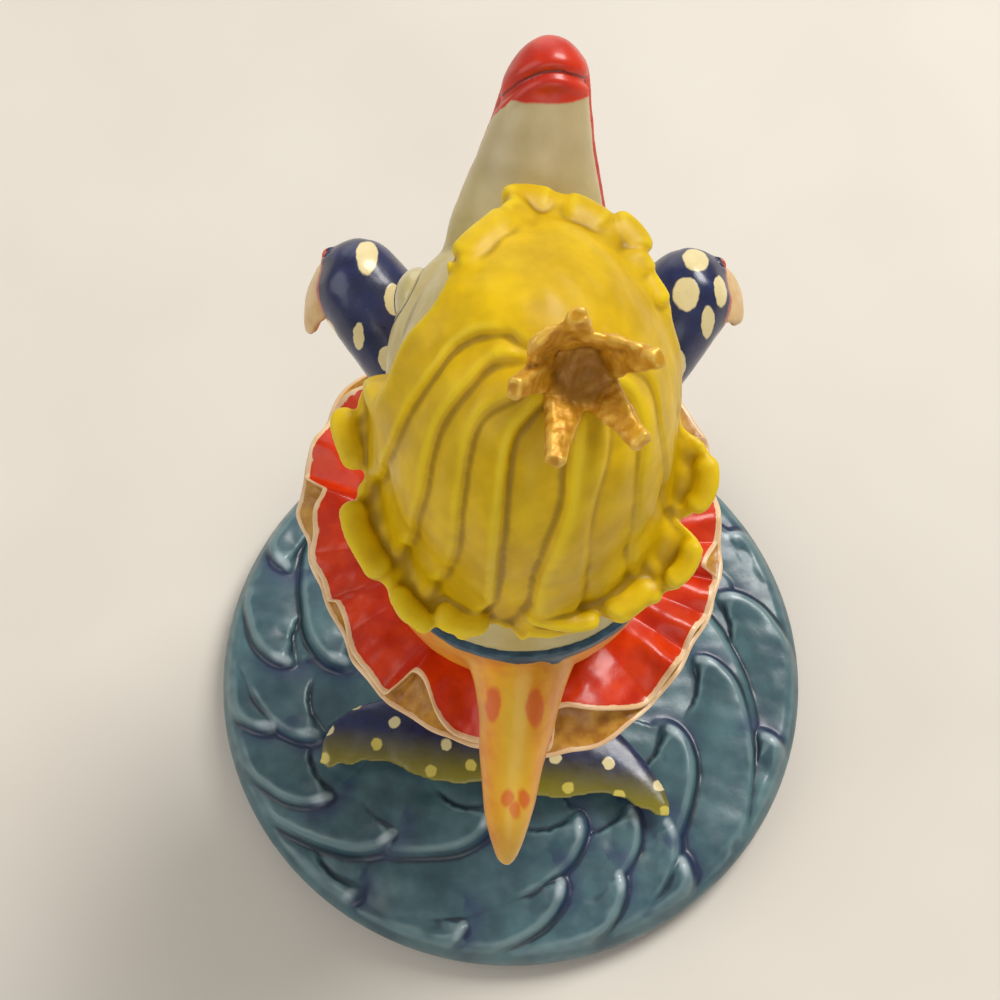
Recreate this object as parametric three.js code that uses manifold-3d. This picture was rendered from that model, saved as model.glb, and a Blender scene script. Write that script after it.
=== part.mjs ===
// Dolphin figurine: an upright dolphin in a wig, crown and ruffle on a wave base.
// Millimetres. Z is up, the dolphin looks along -Y, and its left side is +X.
// The origin is the centre of the felt pad's underside.
import * as THREE from 'three';
import { mergeVertices } from 'three/addons/utils/BufferGeometryUtils.js';
import Module from 'manifold-3d';

const wasm = await Module();
wasm.setup();

// Fits
const GLUE_GAP = 0.3;          // between two castings that are glued together
const PEG_GAP = 0.3;           // round a peg and past each of its ends

// Base
const BASE_RADIUS = 51;
const PAD_INSET = 3;           // the felt pad's edge inside the base's
const PAD_THICKNESS = 1;
const BASE_WALL = 6;           // height of the rim over the pad
const DOME_RISE = 5.7;         // the middle of the base over its rim
const DOME_SEAT_MARGIN = 1;    // level ground left round the tail's foot
const WAVE_HEIGHT = 2.9;
const WAVE_FREE_RIM = 3;       // the waves sink into the rim over this width
const WAVES_FULL_RADIUS = 25;  // they rise to their full height this far from the middle
const WAVE_OUTER_SLOPE = 2.2;  // width of the slope beyond a wave's crest
const WAVE_INNER_SLOPE = 3;    // and of the slope behind it

// Body: centre line and cross-section of the casting
const TAIL_FOOT_HALF_WIDTH = 7;
const TAIL_FOOT_HALF_DEPTH = 6.5;
const TAIL_FOOT_BACK = 4.5;    // the foot's middle behind the origin
const TAIL_FOOT_SIDE = 1.6;    // and to the dolphin's left
const TAIL_NARROW = 5.6;       // half width over the flukes
const WAIST_HEIGHT = 74;       // joint between tail and torso
const TORSO_LENGTH = 32;       // from there to the joint between torso and head
const WAIST_HALF_WIDTH = 17.8;
const WAIST_HALF_DEPTH = 18.2;
const WAIST_BACK = 3.4;        // how far the waist's centre lies behind the origin
const NECK_HALF_WIDTH = 19.3;
const NECK_HALF_DEPTH = 19.8;
const NECK_BACK = 9;
const FIGURE_SHIFT = -1;       // the upper body stands a little to its own right

// Head
const HEAD_RISE = 27.5;        // centre of the skull over the neck joint
const HEAD_BACK = 6;
const SKULL_HALF = [15.4, 19.4, 21.8];
const FACE_HALF = [16.8, 18.5, 14];  // across, along the beak, and square to both
const FACE_BACK = -1.2;
const FACE_DROP = 7.5;         // the face's centre under the skull's
const BEAK_LENGTH = 23.4;        // from the face
const BEAK_SINK = 1.7;         // its root under the face's surface
const BEAK_LOW = 4;            // and nearer to the chin than the face's axis
const BEAK_RISE_ANGLE = 53;    // degrees over the level
const BEAK_SIDE = 0.6;         // its root is a little to the dolphin's right
const BEAK_SWERVE = 1.6;       // how far the tip turns to the dolphin's right
const BEAK_ROOT_HALF_WIDTH = 9.6;
const BEAK_TIP_HALF_WIDTH = 4.7;
const BEAK_ROOT_HALF_DEPTH = 7.4;
const BEAK_TIP_HALF_DEPTH = 4.3;
const EYE_HALF = [3, 4.2, 4.4];
const EYE_SINK = 3.2;          // its centre inside the face's side
const EYE_FORWARD = 7.4;       // its centre before the face's
const EYE_LIFT = 5;            // and over it

// Wig
const WIG_THICKNESS = 2.4;     // hair over the skull
const HAIR_FLARE = 5.8;        // how far the largest turned-up end stands out
const LOCK_RELIEF = 0.8;
const FRINGE_ROLL = 1.6;

// Crown
const CROWN_RING_RADIUS = 3.7;
const CROWN_WALL = 1.3;
const CROWN_RING_HEIGHT = 2.4;
const CROWN_POINTS = 5;
const CROWN_POINT_LENGTH = 8;
const CROWN_POINT_FLARE = 5.1;
const CROWN_POINT_HALF_WIDTH = 2.2;
const CROWN_TIP_HALF_WIDTH = 1.2;
const CROWN_LEAN_BACK = 42;    // degrees
const CROWN_LEAN_SIDE = 5;
const CROWN_TWIST = -18;
const CROWN_FLOOR = 0.8;       // top of the cup's floor over its seat
const CROWN_FOOT = 2;          // how deep its foot reaches under the seat

// Ruffle
const RUFFLE_LIFT = 1.5;       // its middle over the waist joint
const RUFFLE_RADIUS = 28.9;
const RUFFLE_FOLDS = 11;
const RUFFLE_WAVE = 4.2;       // half the height of a fold at the hem
const RUFFLE_FRONT_RISE = 4;   // the hem lies this much higher in front
const RUFFLE_OVERHANG = 0.72;  // how far the folds lean over, in turns of the fold
const RUFFLE_THICKNESS = 1.5;
const RUFFLE_SIDE = 0.2;       // its middle lies a little to the dolphin's left
const RUFFLE_BACK = 3.2;

// Fins
const FLUKE_HALF_SPAN = 30;
const FLUKE_LIFT = 3.7;        // their middle over the base
const FLUKE_BACK = 18.6;       // the line of their tips behind the tail's foot
const FLUKE_SIDE = 1.4;
const FLUKE_TURN = -8.4;       // degrees, left tip forward
const FLUKE_ROOT_THICKNESS = 4.2;
const FLUKE_TIP_THICKNESS = 1.6;
const FLUKE_LEFT_BLUNT = 3.2;  // the left tip's front edge lies this much farther forward
const DORSAL_ROOT_HALF_WIDTH = 6.6;
const DORSAL_TIP_HALF_WIDTH = 2.1;
const DORSAL_ROOT_HALF_DEPTH = 9.5;
const DORSAL_SINK = 8.8;       // its root inside the back
const DORSAL_LENGTH = 20.8;    // how far it reaches out from the back
const DORSAL_DROP = 13;        // its tip under its root
const DORSAL_RISE = 21;        // its root over the waist joint
const SLEEVE_RADIUS = 6.3;     // at the widest, half way out
const ARM_REACH = 20;          // from the middle of the body out to the widest part and past it
const ARM_SKEW = 0.5;          // the left arm is this much farther forward, the right one back
const SHOULDER_LOW = 8;        // the shoulder under the neck joint
const ARM_SHIFT = -1.6;        // the arms' middle, to the dolphin's right
const FLIPPER_HALF_WIDTH = 3.8;
const FLIPPER_HALF_THICKNESS = 1.3;

// Pegs and rod
const WAIST_PIN = { radius: 3, length: 16 };
const NECK_PIN = { radius: 3, length: 16 };
const DORSAL_PIN = { radius: 1.6, length: 12 };
const SHOULDER_PIN = { radius: 1.2, length: 9 };
const CROWN_PIN = { radius: 0.8, length: 6 };
const TAIL_ROD = { radius: 2, length: 30 };
const ROD_FLOOR = 4;           // resin left under the rod

const NECK_HEIGHT = WAIST_HEIGHT + TORSO_LENGTH;
const HEAD_HEIGHT = NECK_HEIGHT + HEAD_RISE;
const PAD_RADIUS = BASE_RADIUS - PAD_INSET;
const BASE_TOP = PAD_THICKNESS + BASE_WALL + DOME_RISE;
const DOME_FLAT_RADIUS = TAIL_FOOT_BACK + TAIL_FOOT_HALF_DEPTH + DOME_SEAT_MARGIN;

const degrees = THREE.MathUtils.degToRad;
const lerp = THREE.MathUtils.lerp;
const clamp = THREE.MathUtils.clamp;
const smooth = (x, from, to) => THREE.MathUtils.smoothstep(x, from, to);

// Solids

// Skins a row of rings, each with as many points, and closes both ends with a fan.
function loft(rings) {
  const count = rings[0].length;
  const points = rings.flat();
  const faces = [];
  for (let i = 0; i + 1 < rings.length; i++) {
    for (let j = 0; j < count; j++) {
      const k = (j + 1) % count;
      const [a, b, c, d] = [i * count + j, i * count + k, (i + 1) * count + k, (i + 1) * count + j];
      faces.push(a, b, c, a, c, d);
    }
  }
  const ends = [rings[0], rings[rings.length - 1]];
  ends.forEach((ring, end) => {
    const first = end === 0 ? 0 : (rings.length - 1) * count;
    const middle = new THREE.Vector3();
    ring.forEach((point) => middle.add(point));
    points.push(middle.divideScalar(count));
    for (let j = 0; j < count; j++) {
      const k = (j + 1) % count;
      const [a, b] = end === 0 ? [first + k, first + j] : [first + j, first + k];
      faces.push(a, b, points.length - 1);
    }
  });
  return meshOf(points, faces);
}

// Skins a ring of closed sections, as a doughnut is.
function closedRing(sections) {
  const count = sections[0].length;
  const faces = [];
  for (let i = 0; i < sections.length; i++) {
    const next = (i + 1) % sections.length;
    for (let j = 0; j < count; j++) {
      const k = (j + 1) % count;
      const [a, b, c, d] = [i * count + j, i * count + k, next * count + k, next * count + j];
      faces.push(a, b, c, a, c, d);
    }
  }
  return meshOf(sections.flat(), faces);
}

// Makes a geometry and turns its faces outward.
function meshOf(points, faces) {
  let volume = 0;
  for (let i = 0; i < faces.length; i += 3) {
    const [a, b, c] = [points[faces[i]], points[faces[i + 1]], points[faces[i + 2]]];
    volume += a.dot(new THREE.Vector3().crossVectors(b, c));
  }
  const turned = volume < 0 ? [...faces].reverse() : faces;
  const geometry = new THREE.BufferGeometry();
  geometry.setAttribute('position', new THREE.Float32BufferAttribute(points.flatMap((p) => p.toArray()), 3));
  geometry.setIndex(turned);
  return geometry;
}

function toSolid(geometry) {
  const bare = geometry.clone();
  bare.deleteAttribute('normal');
  bare.deleteAttribute('uv');
  const merged = mergeVertices(bare, 1e-4);
  const vertProperties = new Float32Array(merged.attributes.position.array);
  const triVerts = new Uint32Array(merged.index.array);
  return new wasm.Manifold(new wasm.Mesh({ numProp: 3, vertProperties, triVerts }));
}

function toGeometry(solid) {
  const { vertProperties, triVerts } = solid.getMesh();
  const geometry = new THREE.BufferGeometry();
  geometry.setAttribute('position', new THREE.Float32BufferAttribute(vertProperties, 3));
  geometry.setIndex([...triVerts]);
  return geometry;
}

// A ring of points round an ellipse. Across and over are the half sizes along the two directions.
function ellipseRing(centre, acrossDirection, overDirection, across, over, count) {
  return Array.from({ length: count }, (_, j) => {
    const turn = (2 * Math.PI * j) / count;
    return centre.clone()
      .addScaledVector(acrossDirection, across * Math.cos(turn))
      .addScaledVector(overDirection, over * Math.sin(turn));
  });
}

// A body along a smooth path. Each station gives a place and two half sizes.
// Grow swells every half size. The sections stand square to the path, or level.
function limb(stations, options) {
  const { count = 20, steps = 12, grow = 0, side = new THREE.Vector3(1, 0, 0), level = false } = options;
  const path = new THREE.CatmullRomCurve3(stations.map((s) => new THREE.Vector3(...s.at)));
  const sizes = new THREE.CatmullRomCurve3(stations.map((s) => new THREE.Vector3(s.across, s.over, 0)));
  const rings = [];
  for (let i = 0; i <= steps; i++) {
    const t = i / steps;
    const along = path.getTangent(t);
    const acrossDirection = level ? new THREE.Vector3(1, 0, 0) : side.clone()
      .addScaledVector(along, -side.dot(along)).normalize();
    const overDirection = level ? new THREE.Vector3(0, 1, 0)
      : new THREE.Vector3().crossVectors(along, acrossDirection).normalize();
    const size = sizes.getPoint(t);
    const centre = path.getPoint(t);
    rings.push(ellipseRing(centre, acrossDirection, overDirection, size.x + grow, size.y + grow, count));
  }
  return toSolid(loft(rings));
}

function ellipsoid(centre, half, grow = 0, detail = 24, pitch = 0) {
  const geometry = new THREE.SphereGeometry(1, detail, Math.round(detail * 0.6));
  geometry.rotateX(Math.PI / 2);
  geometry.scale(half[0] + grow, half[1] + grow, half[2] + grow);
  geometry.rotateX(pitch);
  geometry.translate(...centre);
  return toSolid(geometry);
}

// A round peg centred at a place, along a direction.
function peg(centre, direction, radius, length) {
  const geometry = new THREE.CylinderGeometry(radius, radius, length, 20);
  const turn = new THREE.Quaternion()
    .setFromUnitVectors(new THREE.Vector3(0, 1, 0), direction.clone().normalize());
  geometry.applyQuaternion(turn);
  geometry.translate(centre.x, centre.y, centre.z);
  return toSolid(geometry);
}

function pegAndSocket(size, centre, direction) {
  return {
    pin: peg(centre, direction, size.radius, size.length),
    socket: peg(centre, direction, size.radius + PEG_GAP, size.length + 2 * PEG_GAP),
  };
}

// Base

// Wave heads: turn about the base in degrees, distance from its middle as a share of its radius,
// and share of the full height.
const WAVES = [
  [-27, 0.83, 0.95], [-3, 0.73, 1], [13, 0.8, 0.9], [-3, 0.53, 1], [18, 0.67, 0.9],
  [35, 0.73, 1], [54, 0.67, 1], [54, 0.9, 0.8], [78, 0.86, 0.8], [79, 0.5, 0.9],
  [100, 0.73, 1], [109, 0.56, 0.9], [114, 0.77, 0.9], [125, 0.62, 0.8], [128, 0.84, 0.9],
  [131, 0.72, 0.8], [162, 0.86, 0.9], [153, 0.55, 1.05], [178, 0.61, 1.05], [196, 0.74, 1.05],
  [210, 0.86, 0.9], [226, 0.68, 1], [240, 0.84, 0.9], [254, 0.65, 1], [268, 0.87, 0.9],
  [282, 0.72, 1], [297, 0.88, 0.9], [309, 0.66, 0.9], [318, 0.79, 0.9], [205, 0.5, 0.8],
  [245, 0.47, 0.8], [290, 0.49, 0.8], [335, 0.55, 0.8],
];
// The crest from a wave's head outward, in millimetres: on along the round, and out.
const WAVE_CREST = [
  [1.2, 0.2], [1.4, 2], [0.4, 4.6], [-2.4, 7.4], [-6.5, 9.6], [-12, 12.2], [-18, 14.8], [-26, 17.5],
];
const WAVE_BODY = 11;          // width of a wave's soft side
const WAVE_SCOOP = 0.6;        // depth of the hollow behind its head

const WAVE_LINES = WAVES.map(([turn, reach, share]) => ({
  share,
  line: WAVE_CREST.map(([on, out]) => {
    const start = BASE_RADIUS * reach;
    const angle = degrees(turn) + on / (start + 0.6 * out);
    return [(start + out) * Math.cos(angle), (start + out) * Math.sin(angle)];
  }),
}));

function domeHeight(radius) {
  const t = clamp((radius - DOME_FLAT_RADIUS) / (BASE_RADIUS - DOME_FLAT_RADIUS), 0, 1);
  return PAD_THICKNESS + BASE_WALL + DOME_RISE * (1 - t ** 1.6);
}

// Where a place lies from a wave's crest: distance, whether beyond it, and run from the head.
function besideCrest(x, y, line) {
  const best = { away: Infinity, beyond: false, run: 0 };
  let run = 0;
  for (let k = 0; k + 1 < line.length; k++) {
    const [ax, ay] = line[k];
    const dx = line[k + 1][0] - ax;
    const dy = line[k + 1][1] - ay;
    const size = Math.hypot(dx, dy);
    const t = clamp(((x - ax) * dx + (y - ay) * dy) / size ** 2, 0, 1);
    const gx = x - ax - t * dx;
    const gy = y - ay - t * dy;
    const away = Math.hypot(gx, gy);
    if (away < best.away) {
      Object.assign(best, { away, beyond: dx * gy - dy * gx > 0, run: run + t * size });
    }
    run += size;
  }
  return best;
}

// Height of the waves over the dome at a place on the base.
function waveHeight(x, y) {
  const radius = Math.hypot(x, y);
  let height = 0;
  let scoop = 0;
  for (const { share, line } of WAVE_LINES) {
    const { away, beyond, run } = besideCrest(x, y, line);
    const full = WAVE_HEIGHT * share * smooth(run, -1, 3) * (1 - 0.55 * smooth(run, 8, 30));
    if (beyond) {
      height = Math.max(height, full * (1 - smooth(away, 0.2, WAVE_OUTER_SLOPE)));
    } else {
      const floor = lerp(0.45, 0.72, smooth(run, 4, 14)) * (1 - smooth(away, 3, WAVE_BODY));
      height = Math.max(height, full * lerp(1, floor, smooth(away, 0.1, WAVE_INNER_SLOPE)));
      const hollow = Math.exp(-(((away - 3.4) / 1.9) ** 2)) * smooth(run, 0, 3);
      scoop = Math.max(scoop, hollow * (1 - smooth(run, 7, 15)));
    }
  }
  height -= WAVE_SCOOP * scoop * (1 - clamp((1.4 * height) / WAVE_HEIGHT, 0, 1));
  return height * smooth(radius, DOME_FLAT_RADIUS, WAVES_FULL_RADIUS)
    * (1 - smooth(radius, BASE_RADIUS - WAVE_FREE_RIM, BASE_RADIUS));
}

function makeWaveBase(rodSocket) {
  const around = 80;
  const rows = 28;
  const wall = [
    [BASE_RADIUS - 2.5, 0], [BASE_RADIUS - 0.5, BASE_WALL * 0.23],
    [BASE_RADIUS, BASE_WALL * 0.57], [BASE_RADIUS - 0.6, BASE_WALL * 0.9],
  ];
  const rings = wall.map(([radius, height]) => ellipseRing(
    new THREE.Vector3(0, 0, PAD_THICKNESS + height),
    new THREE.Vector3(1, 0, 0), new THREE.Vector3(0, 1, 0), radius, radius, around));
  for (let i = 1; i <= rows; i++) {
    const radius = lerp(BASE_RADIUS - 1, 2, i / rows);
    rings.push(Array.from({ length: around }, (_, j) => {
      const turn = (2 * Math.PI * j) / around;
      const x = radius * Math.cos(turn);
      const y = radius * Math.sin(turn);
      return new THREE.Vector3(x, y, domeHeight(radius) + waveHeight(x, y));
    }));
  }
  return toSolid(loft(rings)).subtract(rodSocket);
}

function makeFeltPad() {
  const geometry = new THREE.CylinderGeometry(PAD_RADIUS, PAD_RADIUS, PAD_THICKNESS, 72);
  geometry.rotateX(Math.PI / 2);
  geometry.translate(0, 0, PAD_THICKNESS / 2);
  return toSolid(geometry);
}

// Body

const TAIL_FOOT = BASE_TOP + GLUE_GAP;

// Stations of the body: share of the way up, how far behind the origin, and the half sizes.
function station(bottom, top, share, side, back, across, over) {
  return { at: [side, back, lerp(bottom, top, share)], across, over };
}

const tailAt = (share, side, back, swell) => station(
  TAIL_FOOT, WAIST_HEIGHT - GLUE_GAP, share, side, back,
  lerp(TAIL_NARROW, WAIST_HALF_WIDTH, swell), lerp(TAIL_NARROW + 0.4, WAIST_HALF_DEPTH, swell));

const TAIL_STATIONS = [
  {
    at: [TAIL_FOOT_SIDE, TAIL_FOOT_BACK, TAIL_FOOT],
    across: TAIL_FOOT_HALF_WIDTH,
    over: TAIL_FOOT_HALF_DEPTH,
  },
  tailAt(0.15, TAIL_FOOT_SIDE - 0.2, TAIL_FOOT_BACK - 1.3, 0),
  tailAt(0.31, TAIL_FOOT_SIDE - 0.8, -0.8, 0.17),
  tailAt(0.54, 0, -3.4, 0.57),
  tailAt(0.78, 0, -1.2, 0.84),
  tailAt(1, 0, WAIST_BACK, 1),
];

const torsoAt = (share, back, swell) => station(
  WAIST_HEIGHT, NECK_HEIGHT, share, FIGURE_SHIFT * share, back,
  lerp(WAIST_HALF_WIDTH, NECK_HALF_WIDTH, share) + swell,
  lerp(WAIST_HALF_DEPTH, NECK_HALF_DEPTH, share) + swell);

const TORSO_STATIONS = [
  torsoAt(0, WAIST_BACK, 0),
  torsoAt(0.34, lerp(WAIST_BACK, NECK_BACK, 0.4), 0.5),
  torsoAt(0.69, lerp(WAIST_BACK, NECK_BACK, 0.75), 0.6),
  torsoAt(1, NECK_BACK, 0),
];

const neckAt = (share, swell) => station(
  NECK_HEIGHT + GLUE_GAP, HEAD_HEIGHT, share, FIGURE_SHIFT, lerp(NECK_BACK, HEAD_BACK, share),
  lerp(NECK_HALF_WIDTH, SKULL_HALF[0] - 0.4, share) + swell,
  lerp(NECK_HALF_DEPTH, SKULL_HALF[1] - 0.6, share) + swell);

const NECK_STATIONS = [neckAt(0, 0), neckAt(0.33, 0), neckAt(0.76, -0.4), neckAt(1, 0)];

const bodyPart = (stations, grow = 0) => limb(stations, { count: 30, steps: 7, level: true, grow });

// Head

const FACE_CENTRE = [FIGURE_SHIFT, FACE_BACK, HEAD_HEIGHT - FACE_DROP];
const SKULL_CENTRE = [FIGURE_SHIFT, HEAD_BACK, HEAD_HEIGHT];
const BEAK_DIRECTION = new THREE.Vector3(0, -1, 0)
  .applyAxisAngle(new THREE.Vector3(1, 0, 0), -degrees(BEAK_RISE_ANGLE));
const CHIN_DIRECTION = new THREE.Vector3(0, BEAK_DIRECTION.z, -BEAK_DIRECTION.y).negate();
const BEAK_ROOT = new THREE.Vector3(...FACE_CENTRE)
  .addScaledVector(BEAK_DIRECTION, FACE_HALF[1] - BEAK_SINK)
  .addScaledVector(CHIN_DIRECTION, BEAK_LOW)
  .setX(FIGURE_SHIFT - BEAK_SIDE);

function beakBlank() {
  const place = (t) => BEAK_ROOT.clone()
    .addScaledVector(BEAK_DIRECTION, BEAK_LENGTH * t)
    .setX(BEAK_ROOT.x - BEAK_SWERVE * t)
    .toArray();
  const section = (t, width, depth) => ({
    at: place(t),
    across: lerp(BEAK_TIP_HALF_WIDTH, BEAK_ROOT_HALF_WIDTH, width),
    over: lerp(BEAK_TIP_HALF_DEPTH, BEAK_ROOT_HALF_DEPTH, depth),
  });
  const blunt = (t, share) => ({
    at: place(t), across: BEAK_TIP_HALF_WIDTH * share, over: BEAK_TIP_HALF_DEPTH * share,
  });
  const stations = [
    section(-0.45, 1.2, 1),
    section(0, 1, 1),
    section(0.4, 0.43, 0.36),
    section(0.72, 0.04, 0),
    section(0.86, 0, 0),
    blunt(0.96, 0.66),
    blunt(1, 0.3),
  ];
  return limb(stations, { count: 20, steps: 14 });
}

// Everything on the chin side of the mouth line.
function chinSide(gap) {
  const size = 3 * BEAK_LENGTH;
  const geometry = new THREE.BoxGeometry(size, size, size);
  geometry.translate(0, -size / 2 + gap, 0);
  geometry.rotateX(degrees(90 - BEAK_RISE_ANGLE));
  geometry.translate(BEAK_ROOT.x, BEAK_ROOT.y, BEAK_ROOT.z);
  return toSolid(geometry);
}

// The face is an egg laid along the beak.
function face(grow = 0) {
  return ellipsoid(FACE_CENTRE, FACE_HALF, grow, 28, -degrees(BEAK_RISE_ANGLE));
}

function headBlank(grow = 0) {
  return ellipsoid(SKULL_CENTRE, SKULL_HALF, grow, 28).add(face(grow)).add(bodyPart(NECK_STATIONS, grow));
}

function eyeDome(sign) {
  const out = FACE_HALF[0] - EYE_SINK;
  const centre = [FIGURE_SHIFT + sign * out, FACE_CENTRE[1] - EYE_FORWARD, FACE_CENTRE[2] + EYE_LIFT];
  return ellipsoid(centre, EYE_HALF, 0, 16);
}

// Wig

const WIG_HALF = SKULL_HALF.map((half) => half + WIG_THICKNESS);

// Hair ends, at turns from the front (0) over the dolphin's left (90) to the nape (180):
// how far down from the crown of the head the hair reaches, in degrees,
// and how far its turned-up end stands out, as a share of the largest.
const HAIR_ENDS = [
  [-180, 119, 0.33], [-170, 119, 0.41], [-163, 119, 0.59], [-157, 119, 0.66], [-150, 118.5, 0.48],
  [-139, 117, 0.97], [-133, 115, 0.55], [-126, 113, 0.66], [-119, 109, 1], [-113, 105, 0.59],
  [-105, 98, 0.97], [-98, 92, 0.66], [-93, 86, 0.14], [-88, 80, 0.03], [-60, 70, 0],
  [-35, 60, 0], [0, 57, 0], [20, 50, 0], [40, 38, 0], [66, 31, 0],
  [89, 31, 0], [92, 82, 0.55], [97, 90, 0.72], [104, 94, 0.76], [110, 98, 0.55],
  [114, 102, 0.45], [122, 108, 0.72], [129, 110, 0.45], [136, 113, 0.62], [143, 115, 0.45],
  [151, 118, 0.83], [158, 119, 0.41], [168, 119, 0.48], [180, 119, 0.33],
];

// Creases between the locks: turn at the top and at the nape.
const CREASES = [
  [110, 104], [128, 122], [142, 138], [155, 152], [171, 168], [205, 181], [214, 200], [226, 218], [248, 236],
];

function hairEnd(turn) {
  const t = THREE.MathUtils.euclideanModulo(turn + 180, 360) - 180;
  const next = HAIR_ENDS.findIndex(([at]) => at > t);
  const [fromTurn, fromReach, fromFlare] = HAIR_ENDS[next - 1];
  const [toTurn, toReach, toFlare] = HAIR_ENDS[next];
  const part = smooth(t, fromTurn, toTurn);
  return {
    reach: lerp(fromReach, toReach, part),
    flare: lerp(fromFlare, toFlare, part),
  };
}

// Rounded locks between the creases, none on the smooth front.
function lockRelief(turn, down) {
  const t = THREE.MathUtils.euclideanModulo(turn, 360);
  const along = clamp(down / 110, 0, 1);
  const at = CREASES.map(([top, nape]) => lerp(top, nape, along));
  const next = at.findIndex((crease) => crease > t);
  if (next < 1) {
    return 0;
  }
  const part = (t - at[next - 1]) / (at[next] - at[next - 1]);
  return LOCK_RELIEF * Math.sqrt(Math.max(0, Math.sin(Math.PI * part))) * smooth(down, 12, 40);
}

// Point on the hair. Down is the reach from the top in degrees, out the distance over the skull's form.
function wigPoint(turn, down, out) {
  const t = degrees(turn);
  const level = Math.min(down, 90);
  const drop = degrees(Math.max(0, down - 90)) * WIG_HALF[2] * 0.95;
  const reach = Math.sin(degrees(level));
  const rise = Math.cos(degrees(level));
  const normal = new THREE.Vector3(Math.sin(t) * reach, -Math.cos(t) * reach, rise).normalize();
  return new THREE.Vector3(
    WIG_HALF[0] * reach * Math.sin(t), -WIG_HALF[1] * reach * Math.cos(t), WIG_HALF[2] * rise - drop)
    .addScaledVector(normal, out)
    .add(new THREE.Vector3(...SKULL_CENTRE));
}

function makeWig(headGrown, pinSocket) {
  const around = 60;
  const rows = 12;
  const ring = (part, outside) => Array.from({ length: around }, (_, j) => {
    const turn = (360 * j) / around;
    const { reach, flare } = hairEnd(turn);
    const down = reach * part;
    const flip = HAIR_FLARE * flare * (0.45 * smooth(part, 0.5, 0.95) + 0.55 * smooth(part, 0.7, 1) ** 1.5);
    const fringe = (1 - smooth(reach, 58, 72)) * FRINGE_ROLL * smooth(part, 0.78, 0.92);
    const relief = lockRelief(turn, down);
    return wigPoint(turn, down, outside ? relief + flip + fringe : flip - WIG_THICKNESS - 0.5);
  });
  const rings = [];
  for (let i = 1; i <= rows; i++) {
    rings.push(ring(0.97 * i / rows, false));
  }
  for (let i = rows; i >= 1; i--) {
    rings.push(ring(i / rows, true));
  }
  return toSolid(loft(rings)).subtract(headGrown).subtract(pinSocket);
}

// Crown

const CROWN_TURN = 222;        // place on the wig, as for the hair
const CROWN_DOWN = 26;
const CROWN_SEAT = wigPoint(CROWN_TURN, CROWN_DOWN, LOCK_RELIEF + 2 * GLUE_GAP);

const crownFrame = new THREE.Matrix4()
  .makeRotationFromEuler(new THREE.Euler(-degrees(CROWN_LEAN_BACK), -degrees(CROWN_LEAN_SIDE), 0, 'YXZ'))
  .setPosition(CROWN_SEAT);
const CROWN_AXIS = new THREE.Vector3(0, 0, 1).transformDirection(crownFrame);

function makeCrown(wigGrown, pinSocket) {
  const hole = CROWN_RING_RADIUS - CROWN_WALL;
  const rim = [CROWN_RING_RADIUS, CROWN_RING_HEIGHT];
  const outline = [[0, -CROWN_FOOT], [CROWN_RING_RADIUS - 0.3, -CROWN_FOOT], rim];
  const inside = [[hole, CROWN_RING_HEIGHT], [hole, CROWN_FLOOR], [0, CROWN_FLOOR]];
  const profile = [...outline, ...inside].map(([r, z]) => new THREE.Vector2(r, z));
  const cup = new THREE.LatheGeometry(profile, 20);
  cup.rotateX(Math.PI / 2);
  let crown = toSolid(cup);
  for (let i = 0; i < CROWN_POINTS; i++) {
    const turn = (2 * Math.PI * i) / CROWN_POINTS + degrees(90 + CROWN_TWIST);
    const out = new THREE.Vector3(Math.cos(turn), Math.sin(turn), 0);
    const along = (r, z) => out.clone().multiplyScalar(r).setZ(z).toArray();
    const middle = CROWN_RING_RADIUS - CROWN_WALL / 2;
    const stations = [
      { at: along(middle, 0), across: CROWN_POINT_HALF_WIDTH, over: CROWN_WALL / 2 },
      {
        at: along(middle + 0.5, CROWN_RING_HEIGHT),
        across: CROWN_POINT_HALF_WIDTH,
        over: CROWN_WALL / 2 + 0.3,
      },
      {
        at: along(middle + CROWN_POINT_FLARE, CROWN_POINT_LENGTH),
        across: CROWN_TIP_HALF_WIDTH,
        over: CROWN_WALL / 2,
      },
    ];
    const side = new THREE.Vector3(-out.y, out.x, 0);
    crown = crown.add(limb(stations, { count: 6, steps: 4, side }));
  }
  const geometry = toGeometry(crown);
  geometry.applyMatrix4(crownFrame);
  return toSolid(geometry).subtract(wigGrown).subtract(pinSocket);
}

// Ruffle

function ruffleMiddle(phase, out) {
  const around = phase / RUFFLE_FOLDS;
  const sway = 0.35 * Math.sin(2 * around + 1) + 0.3 * Math.sin(5 * around);
  const strength = out ** 1.2;
  const lean = RUFFLE_OVERHANG * strength * Math.sin(2 * phase) + 0.5 * sway * Math.sin(phase);
  const turn = around + lean / RUFFLE_FOLDS;
  const radius = lerp(WAIST_HALF_WIDTH - 1.5, RUFFLE_RADIUS, out)
    + strength * 0.9 * Math.cos(phase) * -1;
  const front = smooth(-Math.sin(around), 0.15, 0.9);
  const height = WAIST_HEIGHT + RUFFLE_LIFT - RUFFLE_WAVE * strength * Math.cos(phase)
    + (RUFFLE_FRONT_RISE * front - 0.8) * out;
  return new THREE.Vector3(RUFFLE_SIDE, RUFFLE_BACK, height)
    .add(new THREE.Vector3(radius * Math.cos(turn), radius * Math.sin(turn), 0));
}

function ruffleNormal(phase, out) {
  const step = 0.02;
  const around = ruffleMiddle(phase + step, out).sub(ruffleMiddle(phase - step, out));
  const outward = ruffleMiddle(phase, out + step).sub(ruffleMiddle(phase, Math.max(out - step, 0.001)));
  return outward.cross(around).normalize().negate();
}

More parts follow.
